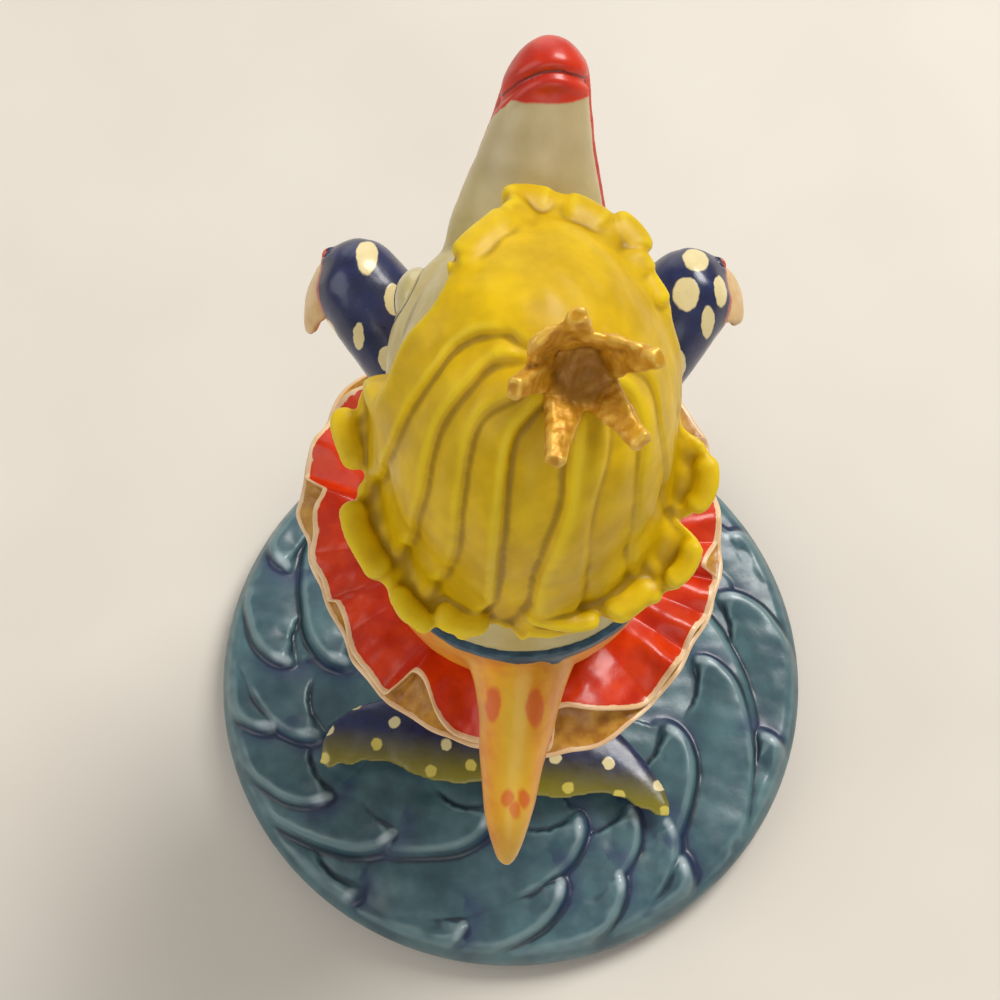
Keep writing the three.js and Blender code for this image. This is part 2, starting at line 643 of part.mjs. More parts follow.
function makeRuffle(bodyGrown) {
  const perFold = 12;
  const total = RUFFLE_FOLDS * perFold;
  const rows = [0, 0.35, 0.68, 1];
  const sections = Array.from({ length: total }, (_, i) => {
    const phase = (2 * Math.PI * i) / perFold;
    const face = (out, side) => ruffleMiddle(phase, out)
      .addScaledVector(ruffleNormal(phase, out), side * RUFFLE_THICKNESS / 2);
    const upper = rows.map((out) => face(out, 1));
    const lower = [...rows].reverse().map((out) => face(out, -1));
    return [...upper, ...lower];
  });
  return toSolid(closedRing(sections)).subtract(bodyGrown);
}

// Fins

// Fluke outline at stations from the notch to the tip: share of the span,
// front edge and back edge, behind the line of the two tips.
const FLUKE_OUTLINE = [
  [0, -18, -1.8], [0.23, -17, 1], [0.43, -15.5, 0.9], [0.65, -13, -0.9],
  [0.83, -8.5, 0.3], [0.95, -5.5, 1.2], [1, -1.5, 0.8],
];

function makeFluke(sign, tailGrown) {
  const points = 12;
  const rings = FLUKE_OUTLINE.map(([share, front, back]) => {
    const x = sign * (GLUE_GAP / 2 + (FLUKE_HALF_SPAN - GLUE_GAP / 2) * share);
    const half = lerp(FLUKE_ROOT_THICKNESS, FLUKE_TIP_THICKNESS, share) / 2;
    const blunt = sign > 0 ? FLUKE_LEFT_BLUNT * smooth(share, 0.6, 0.95) : 0;
    const middle = (front - blunt + back) / 2;
    const lift = 1.1 * Math.sin(Math.PI * share) - 1.2 * share;
    return Array.from({ length: points }, (_, j) => {
      const turn = (2 * Math.PI * j) / points;
      const taper = 1 - 0.45 * Math.max(0, Math.cos(turn));
      const y = middle + ((back - front + blunt) / 2) * Math.cos(turn);
      return new THREE.Vector3(x, y, lift + half * taper * Math.sin(turn));
    });
  });
  const geometry = loft(rings);
  geometry.rotateZ(degrees(FLUKE_TURN));
  geometry.translate(TAIL_FOOT_SIDE + FLUKE_SIDE, TAIL_FOOT_BACK + FLUKE_BACK, BASE_TOP + FLUKE_LIFT);
  return toSolid(geometry).subtract(tailGrown);
}

const DORSAL_AT = new THREE.Vector3(FIGURE_SHIFT, NECK_BACK + NECK_HALF_DEPTH, WAIST_HEIGHT + DORSAL_RISE);

function makeDorsalFin(bodyGrown, pinSocket) {
  const place = (share, drop) => [
    DORSAL_AT.x + 1.5 * share, DORSAL_AT.y + DORSAL_LENGTH * share, DORSAL_AT.z - DORSAL_DROP * drop,
  ];
  const swell = (share) => ({
    across: lerp(DORSAL_TIP_HALF_WIDTH, DORSAL_ROOT_HALF_WIDTH, share),
    over: lerp(DORSAL_TIP_HALF_WIDTH, DORSAL_ROOT_HALF_DEPTH, share),
  });
  const stations = [
    { at: place(-DORSAL_SINK / DORSAL_LENGTH, 0), ...swell(0.9) },
    { at: place(-0.04, 0.06), ...swell(1) },
    { at: place(0.35, 0.26), ...swell(0.66) },
    { at: place(0.73, 0.58), ...swell(0.38) },
    { at: place(0.88, 0.85), ...swell(0.16) },
    { at: place(1, 1), ...swell(-0.1) },
  ];
  return limb(stations, { count: 18, steps: 10 }).subtract(bodyGrown).subtract(pinSocket);
}

// Places on an arm, for the left side (+1) or the right (-1), in shares of its reach.
const armPlace = (sign, out, back, rise) => [
  ARM_SHIFT + sign * ARM_REACH * out,
  ARM_REACH * back - sign * ARM_SKEW,
  NECK_HEIGHT - SHOULDER_LOW + ARM_REACH * rise,
];

const armPath = (sign) => ({
  shoulder: armPlace(sign, 0.475, -0.2, 0.175),
  upper: armPlace(sign, 0.68, -0.46, 0.39),
  middle: armPlace(sign, 0.88, -0.73, 0.61),
  fore: armPlace(sign, 1.05, -0.93, 0.75),
  end: armPlace(sign, 1.16, -1.04, 0.815),
  cap: armPlace(sign, 1.24, -1.1, 0.85),
});

// A puffed sleeve, with its half sizes as shares of the widest.
function sleeve(sign, grow = 0) {
  const { shoulder, upper, middle, fore, end, cap } = armPath(sign);
  const stations = [
    [shoulder, 0.67], [upper, 0.89], [middle, 1], [fore, 0.95], [end, 0.75], [cap, 0.25],
  ].map(([at, share]) => ({ at, across: SLEEVE_RADIUS * share, over: SLEEVE_RADIUS * share }));
  return limb(stations, { count: 18, steps: 10, grow });
}

// A station of the fin's cream end, with shares of its half width and half thickness.
function flipperAt(at, width, thickness) {
  return { at, across: FLIPPER_HALF_WIDTH * width, over: FLIPPER_HALF_THICKNESS * thickness };
}

function makeFlipper(sign, sleeveGrown) {
  const stations = [
    flipperAt(armPlace(sign, 1.08, -1.02, 0.72), 0.84, 1),
    flipperAt(armPlace(sign, 1.24, -1.0, 0.64), 1, 1),
    flipperAt(armPlace(sign, 1.33, -0.95, 0.46), 0.85, 0.95),
    flipperAt(armPlace(sign, 1.36, -0.89, 0.3), 0.4, 0.62),
  ];
  const side = new THREE.Vector3(0, 1, 0);
  return limb(stations, { count: 12, steps: 7, side }).subtract(sleeveGrown);
}

// Assembly

const up = new THREE.Vector3(0, 0, 1);
const rodCentre = new THREE.Vector3(
  TAIL_FOOT_SIDE - 0.2, TAIL_FOOT_BACK - 0.5, PAD_THICKNESS + ROD_FLOOR + TAIL_ROD.length / 2);
const rod = pegAndSocket(TAIL_ROD, rodCentre, up);
const waistPin = pegAndSocket(WAIST_PIN, new THREE.Vector3(0, WAIST_BACK, WAIST_HEIGHT), up);
const neckPin = pegAndSocket(NECK_PIN, new THREE.Vector3(FIGURE_SHIFT, NECK_BACK, NECK_HEIGHT), up);
const dorsalPin = pegAndSocket(
  DORSAL_PIN, DORSAL_AT.clone().setY(DORSAL_AT.y - DORSAL_PIN.length / 6), new THREE.Vector3(0, 1, -0.2));
const crownPinCentre = CROWN_SEAT.clone()
  .addScaledVector(CROWN_AXIS, CROWN_FLOOR - 2 * PEG_GAP - CROWN_PIN.length / 2);
const crownPin = pegAndSocket(CROWN_PIN, crownPinCentre, CROWN_AXIS);

const shoulderPin = (sign) => {
  const { shoulder, upper } = armPath(sign);
  const from = new THREE.Vector3(...shoulder);
  const to = new THREE.Vector3(...upper);
  return pegAndSocket(SHOULDER_PIN, from.clone().lerp(to, 0.6), to.sub(from));
};
const leftShoulder = shoulderPin(1);
const rightShoulder = shoulderPin(-1);

const tailGrown = bodyPart(TAIL_STATIONS, GLUE_GAP);
const torsoGrown = bodyPart(TORSO_STATIONS, GLUE_GAP);
const headGrown = headBlank(GLUE_GAP);

const tailStock = bodyPart(TAIL_STATIONS).subtract(rod.socket).subtract(waistPin.socket);
const torso = bodyPart(TORSO_STATIONS)
  .subtract(waistPin.socket)
  .subtract(neckPin.socket)
  .subtract(dorsalPin.socket)
  .subtract(leftShoulder.socket)
  .subtract(rightShoulder.socket);

const beak = beakBlank();
const head = headBlank()
  .add(beak.subtract(chinSide(GLUE_GAP)))
  .subtract(neckPin.socket)
  .subtract(crownPin.socket);
const lowerJaw = beak.intersect(chinSide(0)).subtract(headGrown);
const wig = makeWig(headGrown, crownPin.socket);
const wigGrown = makeWigSeat();
const crown = makeCrown(wigGrown, crownPin.socket);

function makeWigSeat() {
  const half = WIG_HALF.map((size) => size + LOCK_RELIEF + GLUE_GAP);
  return ellipsoid(SKULL_CENTRE, half, 0, 36);
}

const ruffle = makeRuffle(tailGrown.add(torsoGrown));

function paint(color, roughness, metalness = 0) {
  return new THREE.MeshStandardMaterial({ color, roughness, metalness });
}

const figurine = new THREE.Group();

function addPart(name, solid, material) {
  const mesh = new THREE.Mesh(toGeometry(solid), material);
  mesh.name = name;
  figurine.add(mesh);
}

addPart('felt_pad', makeFeltPad(), paint(0x2c4a3a, 0.95));
addPart('wave_base', makeWaveBase(rod.socket), paint(0x3f6f7c, 0.4));
addPart('tail_rod', rod.pin, paint(0x9a9c9e, 0.35, 1));
addPart('tail_stock', tailStock, paint(0x1f2a5c, 0.3));
addPart('waist_pin', waistPin.pin, paint(0xb98a54, 0.7));
addPart('torso', torso, paint(0xe9a21b, 0.3));
addPart('neck_pin', neckPin.pin, paint(0xb98a54, 0.7));
addPart('head', head, paint(0xd9d0a4, 0.35));
addPart('lower_jaw', lowerJaw, paint(0xd9d0a4, 0.35));
addPart('wig', wig, paint(0xe2cf1c, 0.25));
addPart('crown', crown, paint(0xb98a2b, 0.4, 0.8));
addPart('crown_pin', crownPin.pin, paint(0x9a9c9e, 0.35, 1));
addPart('ruffle', ruffle, paint(0xd43318, 0.25));
addPart('left_fluke', makeFluke(1, tailGrown), paint(0x1f2a5c, 0.3));
addPart('right_fluke', makeFluke(-1, tailGrown), paint(0x1f2a5c, 0.3));
addPart('dorsal_fin', makeDorsalFin(torsoGrown.add(headGrown), dorsalPin.socket), paint(0xe9a21b, 0.3));
addPart('dorsal_pin', dorsalPin.pin, paint(0xb98a54, 0.7));

for (const [side, sign, pin] of [['left', 1, leftShoulder], ['right', -1, rightShoulder]]) {
  const bodyClear = torsoGrown.add(headGrown);
  addPart(`${side}_sleeve`, sleeve(sign).subtract(bodyClear).subtract(pin.socket), paint(0x1f2a5c, 0.3));
  addPart(`${side}_flipper`, makeFlipper(sign, sleeve(sign, GLUE_GAP)), paint(0xe9d9a6, 0.35));
  addPart(`${side}_shoulder_pin`, pin.pin, paint(0xb98a54, 0.7));
  addPart(`${side}_eye`, eyeDome(sign).subtract(headGrown), paint(0xf2efe4, 0.15));
}

export default figurine;
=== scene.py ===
# The dolphin figurine, painted and sculpted over its frame.
# Lengths are in millimetres until a mesh is made. The dolphin looks along -Y, its left side is +X.
import math

import bpy
import numpy as np
from mathutils import Matrix, Vector


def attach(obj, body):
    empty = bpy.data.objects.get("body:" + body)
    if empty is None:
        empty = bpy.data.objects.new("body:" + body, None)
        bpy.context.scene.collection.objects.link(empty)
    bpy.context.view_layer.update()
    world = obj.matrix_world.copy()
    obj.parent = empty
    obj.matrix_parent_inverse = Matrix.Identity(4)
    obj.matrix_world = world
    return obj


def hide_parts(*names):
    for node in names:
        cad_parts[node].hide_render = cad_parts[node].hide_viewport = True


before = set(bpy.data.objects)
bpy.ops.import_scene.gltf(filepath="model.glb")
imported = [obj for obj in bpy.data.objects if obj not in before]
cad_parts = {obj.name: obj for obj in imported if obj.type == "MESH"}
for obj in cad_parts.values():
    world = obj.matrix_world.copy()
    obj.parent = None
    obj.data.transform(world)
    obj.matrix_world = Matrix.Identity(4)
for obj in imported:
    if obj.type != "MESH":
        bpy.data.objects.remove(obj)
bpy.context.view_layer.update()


def report(text):
    print("scene:", text, flush=True)


# Numbers


def smooth(x, low, high):
    t = np.clip((np.asarray(x, float) - low) / (high - low), 0, 1)
    return t * t * (3 - 2 * t)


def mixed(a, b, t):
    return a + (b - a) * t


def unit(v):
    v = np.asarray(v, float)
    return v / np.linalg.norm(v, axis=-1, keepdims=True)


# Even noise of about -1 to 1, from waves in random directions
def wobble(points, size, seed, octaves=2):
    dice = np.random.default_rng(seed)
    total = np.zeros(len(points))
    weight = 0
    for octave in range(octaves):
        gain = 0.5**octave
        for _ in range(6):
            way = unit(dice.normal(size=3))
            pace = 2 * np.pi / (size * gain * dice.uniform(0.8, 1.6))
            total += gain * np.sin(points @ way * pace + dice.uniform(0, 2 * np.pi))
        weight += gain
    return total / (1.9 * weight)


# Points on a smooth curve through rows of numbers, evenly spread by station
def spline(stations, count):
    rows = np.array(stations, float)
    padded = np.vstack([2 * rows[0] - rows[1], rows, 2 * rows[-1] - rows[-2]])
    t = np.linspace(0, len(rows) - 1, count)
    i = np.minimum(t.astype(int), len(rows) - 2)
    u = (t - i)[:, None]
    a, b, c, d = padded[i], padded[i + 1], padded[i + 2], padded[i + 3]
    return 0.5 * (2 * b + (c - a) * u + (2 * a - 5 * b + 4 * c - d) * u**2 + (3 * b - a - 3 * c + d) * u**3)


# Each column of a table at x, eased between the rows
def table(rows, x):
    rows = np.array(rows, float)
    i = np.clip(np.searchsorted(rows[:, 0], x, side="right") - 1, 0, len(rows) - 2)
    span = rows[i + 1, 0] - rows[i, 0]
    u = smooth((x - rows[i, 0]) / span, 0, 1)
    return [rows[i, k] + (rows[i + 1, k] - rows[i, k]) * u for k in range(1, rows.shape[1])]


# Meshes


def gridFaces(rows, columns, closed=True):
    faces = []
    for i in range(rows - 1):
        for j in range(columns if closed else columns - 1):
            k = (j + 1) % columns
            faces.append((i * columns + j, i * columns + k, (i + 1) * columns + k, (i + 1) * columns + j))
    return faces


# The same with fans over both ends, whose middles are the last two points
def cappedFaces(rows, columns):
    faces = gridFaces(rows, columns)
    last = (rows - 1) * columns
    for j in range(columns):
        k = (j + 1) % columns
        faces.append((k, j, rows * columns))
        faces.append((last + j, last + k, rows * columns + 1))
    return faces


# Closed body over a row of rings
def loft(rings):
    rings = np.asarray(rings, float)
    points = np.vstack([rings.reshape(-1, 3), rings[0].mean(0), rings[-1].mean(0)])
    return points, cappedFaces(*rings.shape[:2])


# Both coordinates round a circle, squarer where the power is below 1
def roundOf(count, power=1.0):
    turn = np.linspace(0, 2 * np.pi, count, endpoint=False)
    return [np.sign(c) * np.abs(c) ** power for c in (np.cos(turn), np.sin(turn))]


# Body along a curve. A station is x, y, z and two half sizes
def limb(stations, count=40, steps=40, side=(1, 0, 0), level=False, power=1.0):
    rows = spline(stations, steps)
    path, half = rows[:, :3], np.maximum(rows[:, 3:], 0.05)
    along = unit(np.gradient(path, axis=0))
    if level:
        across = np.tile([1.0, 0, 0], (steps, 1))
        over = np.tile([0, 1.0, 0], (steps, 1))
    else:
        side = np.asarray(side, float)
        across = unit(side - along * (along @ side)[:, None])
        over = np.cross(along, across)
    c, s = roundOf(count, power)
    rings = (
        path[:, None]
        + across[:, None] * half[:, 0, None, None] * c[None, :, None]
        + over[:, None] * half[:, 1, None, None] * s[None, :, None]
    )
    return loft(rings)


# Ellipsoid, tipped about X by pitch degrees
def ball(centre, half, pitch=0.0, detail=40):
    rise = np.linspace(-np.pi / 2, np.pi / 2, detail)[1:-1]
    turn = np.linspace(0, 2 * np.pi, 2 * detail, endpoint=False)
    ring = np.stack(
        [
            np.cos(rise)[:, None] * np.cos(turn)[None],
            np.cos(rise)[:, None] * np.sin(turn)[None],
            np.repeat(np.sin(rise)[:, None], len(turn), 1),
        ],
        -1,
    )
    ring = ring * np.array(half)
    a = math.radians(pitch)
    tip = np.array([[1, 0, 0], [0, math.cos(a), -math.sin(a)], [0, math.sin(a), math.cos(a)]])
    return loft(ring @ tip.T + np.array(centre))


def rawObject(name, points, faces, scale=0.001):
    mesh = bpy.data.meshes.new(name)
    mesh.from_pydata((np.asarray(points) * scale).tolist(), [], faces)
    mesh.update()
    made = bpy.data.objects.new(name, mesh)
    bpy.context.scene.collection.objects.link(made)
    return made


def readMesh(mesh):
    points = np.empty(len(mesh.vertices) * 3)
    mesh.vertices.foreach_get("co", points)
    corners = np.empty(len(mesh.loops), int)
    mesh.loops.foreach_get("vertex_index", corners)
    sizes = np.empty(len(mesh.polygons), int)
    mesh.polygons.foreach_get("loop_total", sizes)
    return points.reshape(-1, 3), [tuple(f) for f in np.split(corners, np.cumsum(sizes)[:-1])]


# One skin round overlapping bodies, with the joints softened
def fused(parts, voxel, passes=0):
    points, faces, start = [], [], 0
    for p, f in parts:
        points.append(p)
        faces += [tuple(i + start for i in face) for face in f]
        start += len(p)
    lump = rawObject("lump", np.vstack(points), faces, 1.0)
    wrap = lump.modifiers.new("wrap", "REMESH")
    wrap.mode = "VOXEL"
    wrap.voxel_size = voxel
    wrap.adaptivity = 0
    graph = bpy.context.evaluated_depsgraph_get()
    skin = lump.evaluated_get(graph).to_mesh()
    made = readMesh(skin)
    lump.evaluated_get(graph).to_mesh_clear()
    bpy.data.objects.remove(lump, do_unlink=True)
    return relaxed(made[0], made[1], passes), made[1]


def edgesOf(faces):
    quads = np.array([f if len(f) == 4 else (f[0], f[1], f[2], f[2]) for f in faces])
    pairs = np.vstack([quads[:, [0, 1]], quads[:, [1, 2]], quads[:, [2, 3]], quads[:, [3, 0]]])
    pairs = pairs[pairs[:, 0] != pairs[:, 1]]
    return np.unique(np.sort(pairs, 1), axis=0)


def neighbourMean(values, edges):
    total = np.zeros_like(values)
    count = np.zeros(len(values))
    np.add.at(total, edges[:, 0], values[edges[:, 1]])
    np.add.at(total, edges[:, 1], values[edges[:, 0]])
    np.add.at(count, edges.ravel(), 1)
    return total / np.maximum(count, 1)[(...,) + (None,) * (values.ndim - 1)]


def relaxed(points, faces, passes, strength=0.6):
    if passes:
        edges = edgesOf(faces)
        for _ in range(passes):
            points = mixed(points, neighbourMean(points, edges), strength)
    return points


def normalsOf(points, faces):
    quads = np.array([f if len(f) == 4 else (f[0], f[1], f[2], f[2]) for f in faces])
    a, b, c, d = (points[quads[:, k]] for k in range(4))
    flat = np.cross(c - a, d - b)
    flat = np.where(np.linalg.norm(flat, axis=1, keepdims=True) < 1e-12, np.cross(b - a, c - a), flat)
    total = np.zeros_like(points)
    for k in range(4):
        np.add.at(total, quads[:, k], flat)
    return total / np.maximum(np.linalg.norm(total, axis=1, keepdims=True), 1e-12)


# Above 0 in a hollow and below 0 on an edge, about -1 to 1
def hollowness(points, faces, passes=4):
    edges = edgesOf(faces)
    lift = np.einsum("ij,ij->i", neighbourMean(points, edges) - points, normalsOf(points, faces))
    for _ in range(passes):
        lift = mixed(lift, neighbourMean(lift, edges), 0.6)
    spread = np.percentile(np.abs(lift), 96) + 1e-9
    return np.clip(lift / spread, -1, 1)


def addPiece(name, points, faces, nodes, material, values=None, withHollowShade=True):
    made = rawObject(name, points, faces)
    mesh = made.data
    mesh.polygons.foreach_set("use_smooth", np.ones(len(mesh.polygons), bool))
    values = dict(values or {})
    # the hollow values drive the painted shade in hollows and the painted highlight on edges
    if withHollowShade:
        values["hollow"] = hollowness(np.asarray(points, float), faces)
    for key, numbers in values.items():
        layer = mesh.attributes.new(key, "FLOAT", "POINT")
        layer.data.foreach_set("value", np.asarray(numbers, np.float32))
    mesh.materials.append(material)
    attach(made, "root")
    if nodes:
        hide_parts(*nodes)
    return made


# Paint


# Linear colour of a display colour from 0 to 255
def tint(red, green, blue):
    made = []
    for value in (red, green, blue):
        v = value / 255
        made.append(v / 12.92 if v <= 0.04045 else ((v + 0.055) / 1.055) ** 2.4)
    return (*made, 1.0)


# A node material that is put together socket by socket
class Paint:
    def __init__(self, name):
        self.material = bpy.data.materials.new(name)
        self.material.use_nodes = True
        self.tree = self.material.node_tree
        self.tree.nodes.clear()
        self.shader = self.tree.nodes.new("ShaderNodeBsdfPrincipled")
        end = self.tree.nodes.new("ShaderNodeOutputMaterial")
        self.tree.links.new(self.shader.outputs[0], end.inputs[0])
        place = self.tree.nodes.new("ShaderNodeTexCoord").outputs["Object"]
        self.place = self.vector("SCALE", place, None, 1000.0)

    # Links a socket, or sets a number or a display colour
    def put(self, socket, value):
        if isinstance(value, bpy.types.NodeSocket):
            self.tree.links.new(value, socket)
        elif value is not None:
            socket.default_value = tint(*value) if socket.type == "RGBA" else value

    def math(self, operation, a, b=None, clamp=False):
        made = self.tree.nodes.new("ShaderNodeMath")
        made.operation = operation
        made.use_clamp = clamp
        for socket, value in zip(made.inputs, (a, b)):
            self.put(socket, value)
        return made.outputs[0]

    def vector(self, operation, a, b=None, scale=None):
        made = self.tree.nodes.new("ShaderNodeVectorMath")
        made.operation = operation
        self.put(made.inputs[0], a)
        self.put(made.inputs[1], b)
        if scale is not None:
            made.inputs["Scale"].default_value = scale
        return made.outputs["Value" if operation in ("LENGTH", "DOT_PRODUCT", "DISTANCE") else "Vector"]

    def ramp(self, value, low, high, start=0.0, end=1.0):
        made = self.tree.nodes.new("ShaderNodeMapRange")
        made.interpolation_type = "SMOOTHSTEP"
        for socket, number in zip(made.inputs, (value, low, high, start, end)):
            self.put(socket, number)
        return made.outputs[0]

    # Noise from 0 to 1 whose spots are about size millimetres wide
    def noise(self, size, detail=3.0, stretch=None):
        made = self.tree.nodes.new("ShaderNodeTexNoise")
        where = self.place
        if stretch:
            where = self.vector("MULTIPLY", where, stretch)
        self.put(made.inputs["Vector"], where)
        made.inputs["Scale"].default_value = 1.0 / size
        made.inputs["Detail"].default_value = detail
        made.inputs["Roughness"].default_value = 0.55
        return made.outputs[0]

    # The place, shifted a little by noise, for edges laid by hand
    def ragged(self, amount, size=1.2):
        made = self.tree.nodes.new("ShaderNodeTexNoise")
        self.put(made.inputs["Vector"], self.place)
        made.inputs["Scale"].default_value = 1.0 / size
        made.inputs["Detail"].default_value = 2.0
        shift = self.vector("SUBTRACT", made.outputs[1], (0.5, 0.5, 0.5))
        return self.vector("ADD", self.place, self.vector("SCALE", shift, None, 2.0 * amount))

    def value(self, name):
        made = self.tree.nodes.new("ShaderNodeAttribute")
        made.attribute_name = name
        return made.outputs["Fac"]

    # Lays colour b over a where share is 1, thinned by amount
    def blend(self, a, b, share, amount=1.0):
        if amount != 1.0:
            share = self.math("MULTIPLY", share, amount)
        made = self.tree.nodes.new("ShaderNodeMix")
        made.data_type = "RGBA"
        self.put(made.inputs[0], share)
        self.put(made.inputs[6], a)
        self.put(made.inputs[7], b)
        return made.outputs[2]

    # Two colours that change over in soft blotches
    def mottled(self, colors, size, detail=3.0, low=0.3, high=0.7, stretch=None):
        return self.blend(*colors, self.ramp(self.noise(size, detail, stretch), low, high))

    # A patch that is 1 inside an ellipsoid
    def spot(self, at, centre, radii, soft=0.08):
        away = self.vector("SUBTRACT", at, tuple(centre))
        away = self.vector("DIVIDE", away, tuple(radii))
        return self.ramp(self.vector("LENGTH", away), 1 - soft, 1 + soft, 1.0, 0.0)

    def either(self, masks):
        total = masks[0]
        for mask in masks[1:]:
            total = self.math("MAXIMUM", total, mask)
        return total

    # Distance past a plane, in millimetres
    def side(self, at, origin, way):
        return self.vector("DOT_PRODUCT", self.vector("SUBTRACT", at, tuple(origin)), tuple(way))

    # Two values of rough vary in patches of roughSize, depth is the grain's height in millimetres
    def finish(
        self, color, grain, rough, depth, metallic=0.0, coat=0.0, coatRough=0.1, specular=0.5, roughSize=3.0
    ):
        if isinstance(rough, tuple):
            rough = self.ramp(self.noise(roughSize, 4.0), 0.3, 0.75, *rough)
        bump = self.tree.nodes.new("ShaderNodeBump")
        bump.inputs["Strength"].default_value = 1.0
        bump.inputs["Distance"].default_value = depth / 1000
        self.put(bump.inputs["Height"], grain)
        values = {
            "Base Color": color,
            "Roughness": rough,
            "Metallic": metallic,
            "Coat Weight": coat,
            "Coat Roughness": coatRough,
            "Specular IOR Level": specular,
            "Normal": bump.outputs[0],
        }
        for key, value in values.items():
            self.put(self.shader.inputs[key], value)
        return self.material

    # Varies a colour with brush-wide noise, and paints shade, darker in hollows, and a highlight, paler on
    # edges
    def patchesShadeAndHighlight(self, color, shadow, light, amount):
        patchy = self.ramp(self.noise(5.0, 3.0), 0.35, 0.7)
        color = self.blend(color, shadow, patchy, 0.35 * amount)
        hollow = self.value("hollow")
        color = self.blend(color, shadow, self.ramp(hollow, 0.05, 1.0, 0.0, amount))
        return self.blend(color, light, self.ramp(hollow, -0.15, -1.0, 0.0, amount * 0.6))


# Shared sizes, as in the frame
figureShift = -1.0
skull = {"centre": np.array([-1.0, 6.0, 133.5]), "half": np.array([15.4, 19.4, 21.8])}
faceEgg = {"centre": np.array([-1.0, -1.2, 126.0]), "half": (16.8, 18.5, 14.0)}
beakRise = math.radians(53)
beakWay = np.array([0, -math.cos(beakRise), math.sin(beakRise)])
chinWay = np.array([0, -math.sin(beakRise), -math.cos(beakRise)])
beakOut = 16.8
beakDown = 4.0
beakSide = -1.6
beakLength = 23.4
beakRoot = faceEgg["centre"] + beakWay * beakOut + chinWay * beakDown
beakRoot[0] = beakSide


# Camera, light and floor


# places in metres, angles in degrees
studio = {
    "lens": 72,
    "sensor": 36,
    "place": (0.0019, 0.1043, 0.3454),
    "tilt": 22,  # of the camera from straight down
    "floorHalf": 1600.0,  # in millimetres
    "floorSteps": 24,
    "floorColors": ((226, 219, 208), (220, 212, 200)),
    "sky": (1.0, 0.985, 0.96, 1),
    "skyStrength": 0.26,
    "aim": (0, 0, 0.07),
    # name, place, width, power, colour
    "lamps": [
        ("key", (-0.42, -0.38, 0.85), 0.45, 7.4, (1.0, 0.985, 0.96)),
        ("fill", (0.75, 0.15, 0.6), 0.9, 2.7, (1.0, 0.99, 0.97)),
        ("rear", (-0.1, 0.95, 0.5), 0.9, 2.3, (1.0, 0.99, 0.97)),
        ("front", (0.15, -0.9, 0.35), 0.9, 1.8, (1.0, 0.99, 0.97)),
    ],
}


def makeStage(spec):
    camera = bpy.data.cameras.new("camera")
    camera.lens = spec["lens"]
    camera.sensor_width = spec["sensor"]
    camera.clip_start, camera.clip_end = 0.01, 20
    holder = bpy.data.objects.new("camera", camera)
    tilt = math.radians(spec["tilt"])
    right = Vector((-1, 0, 0))
    up = Vector((0, -math.cos(tilt), math.sin(tilt)))
    back = Vector((0, math.sin(tilt), math.cos(tilt)))
    turn = Matrix((right, up, back)).transposed()
    holder.matrix_world = Matrix.Translation(spec["place"]) @ turn.to_4x4()
    bpy.context.scene.collection.objects.link(holder)
    bpy.context.scene.camera = holder

    steps = spec["floorSteps"]
    line = np.linspace(-spec["floorHalf"], spec["floorHalf"], steps)
    x, y = np.meshgrid(line, line)
    ground = np.stack([x.ravel(), y.ravel(), np.zeros(x.size)], 1)
    floor = rawObject("floor", ground, gridFaces(steps, steps, False))
    paint = Paint("floor")
    cloud = paint.ramp(paint.noise(60.0, 2.0), 0.2, 0.8)
    color = paint.blend(*spec["floorColors"], cloud)
    floor.data.materials.append(paint.finish(color, paint.noise(1.5), 0.6, 0.01, specular=0.3))

    for name, place, width, power, color in spec["lamps"]:
        lamp = bpy.data.lights.new(name, "AREA")
        lamp.shape = "DISK"
        lamp.size = width
        lamp.energy = power
        lamp.color = color
        shown = bpy.data.objects.new(name, lamp)
        shown.location = place
        shown.rotation_mode = "QUATERNION"
        shown.rotation_quaternion = (Vector(spec["aim"]) - Vector(place)).to_track_quat("-Z", "Y")
        bpy.context.scene.collection.objects.link(shown)

    world = bpy.data.worlds.new("world")
    bpy.context.scene.world = world
    world.use_nodes = True
    sky = world.node_tree.nodes["Background"]
    sky.inputs["Color"].default_value = spec["sky"]
    sky.inputs["Strength"].default_value = spec["skyStrength"]
    bpy.context.scene.view_settings.view_transform = "Standard"


makeStage(studio)
report("stage")


# Base

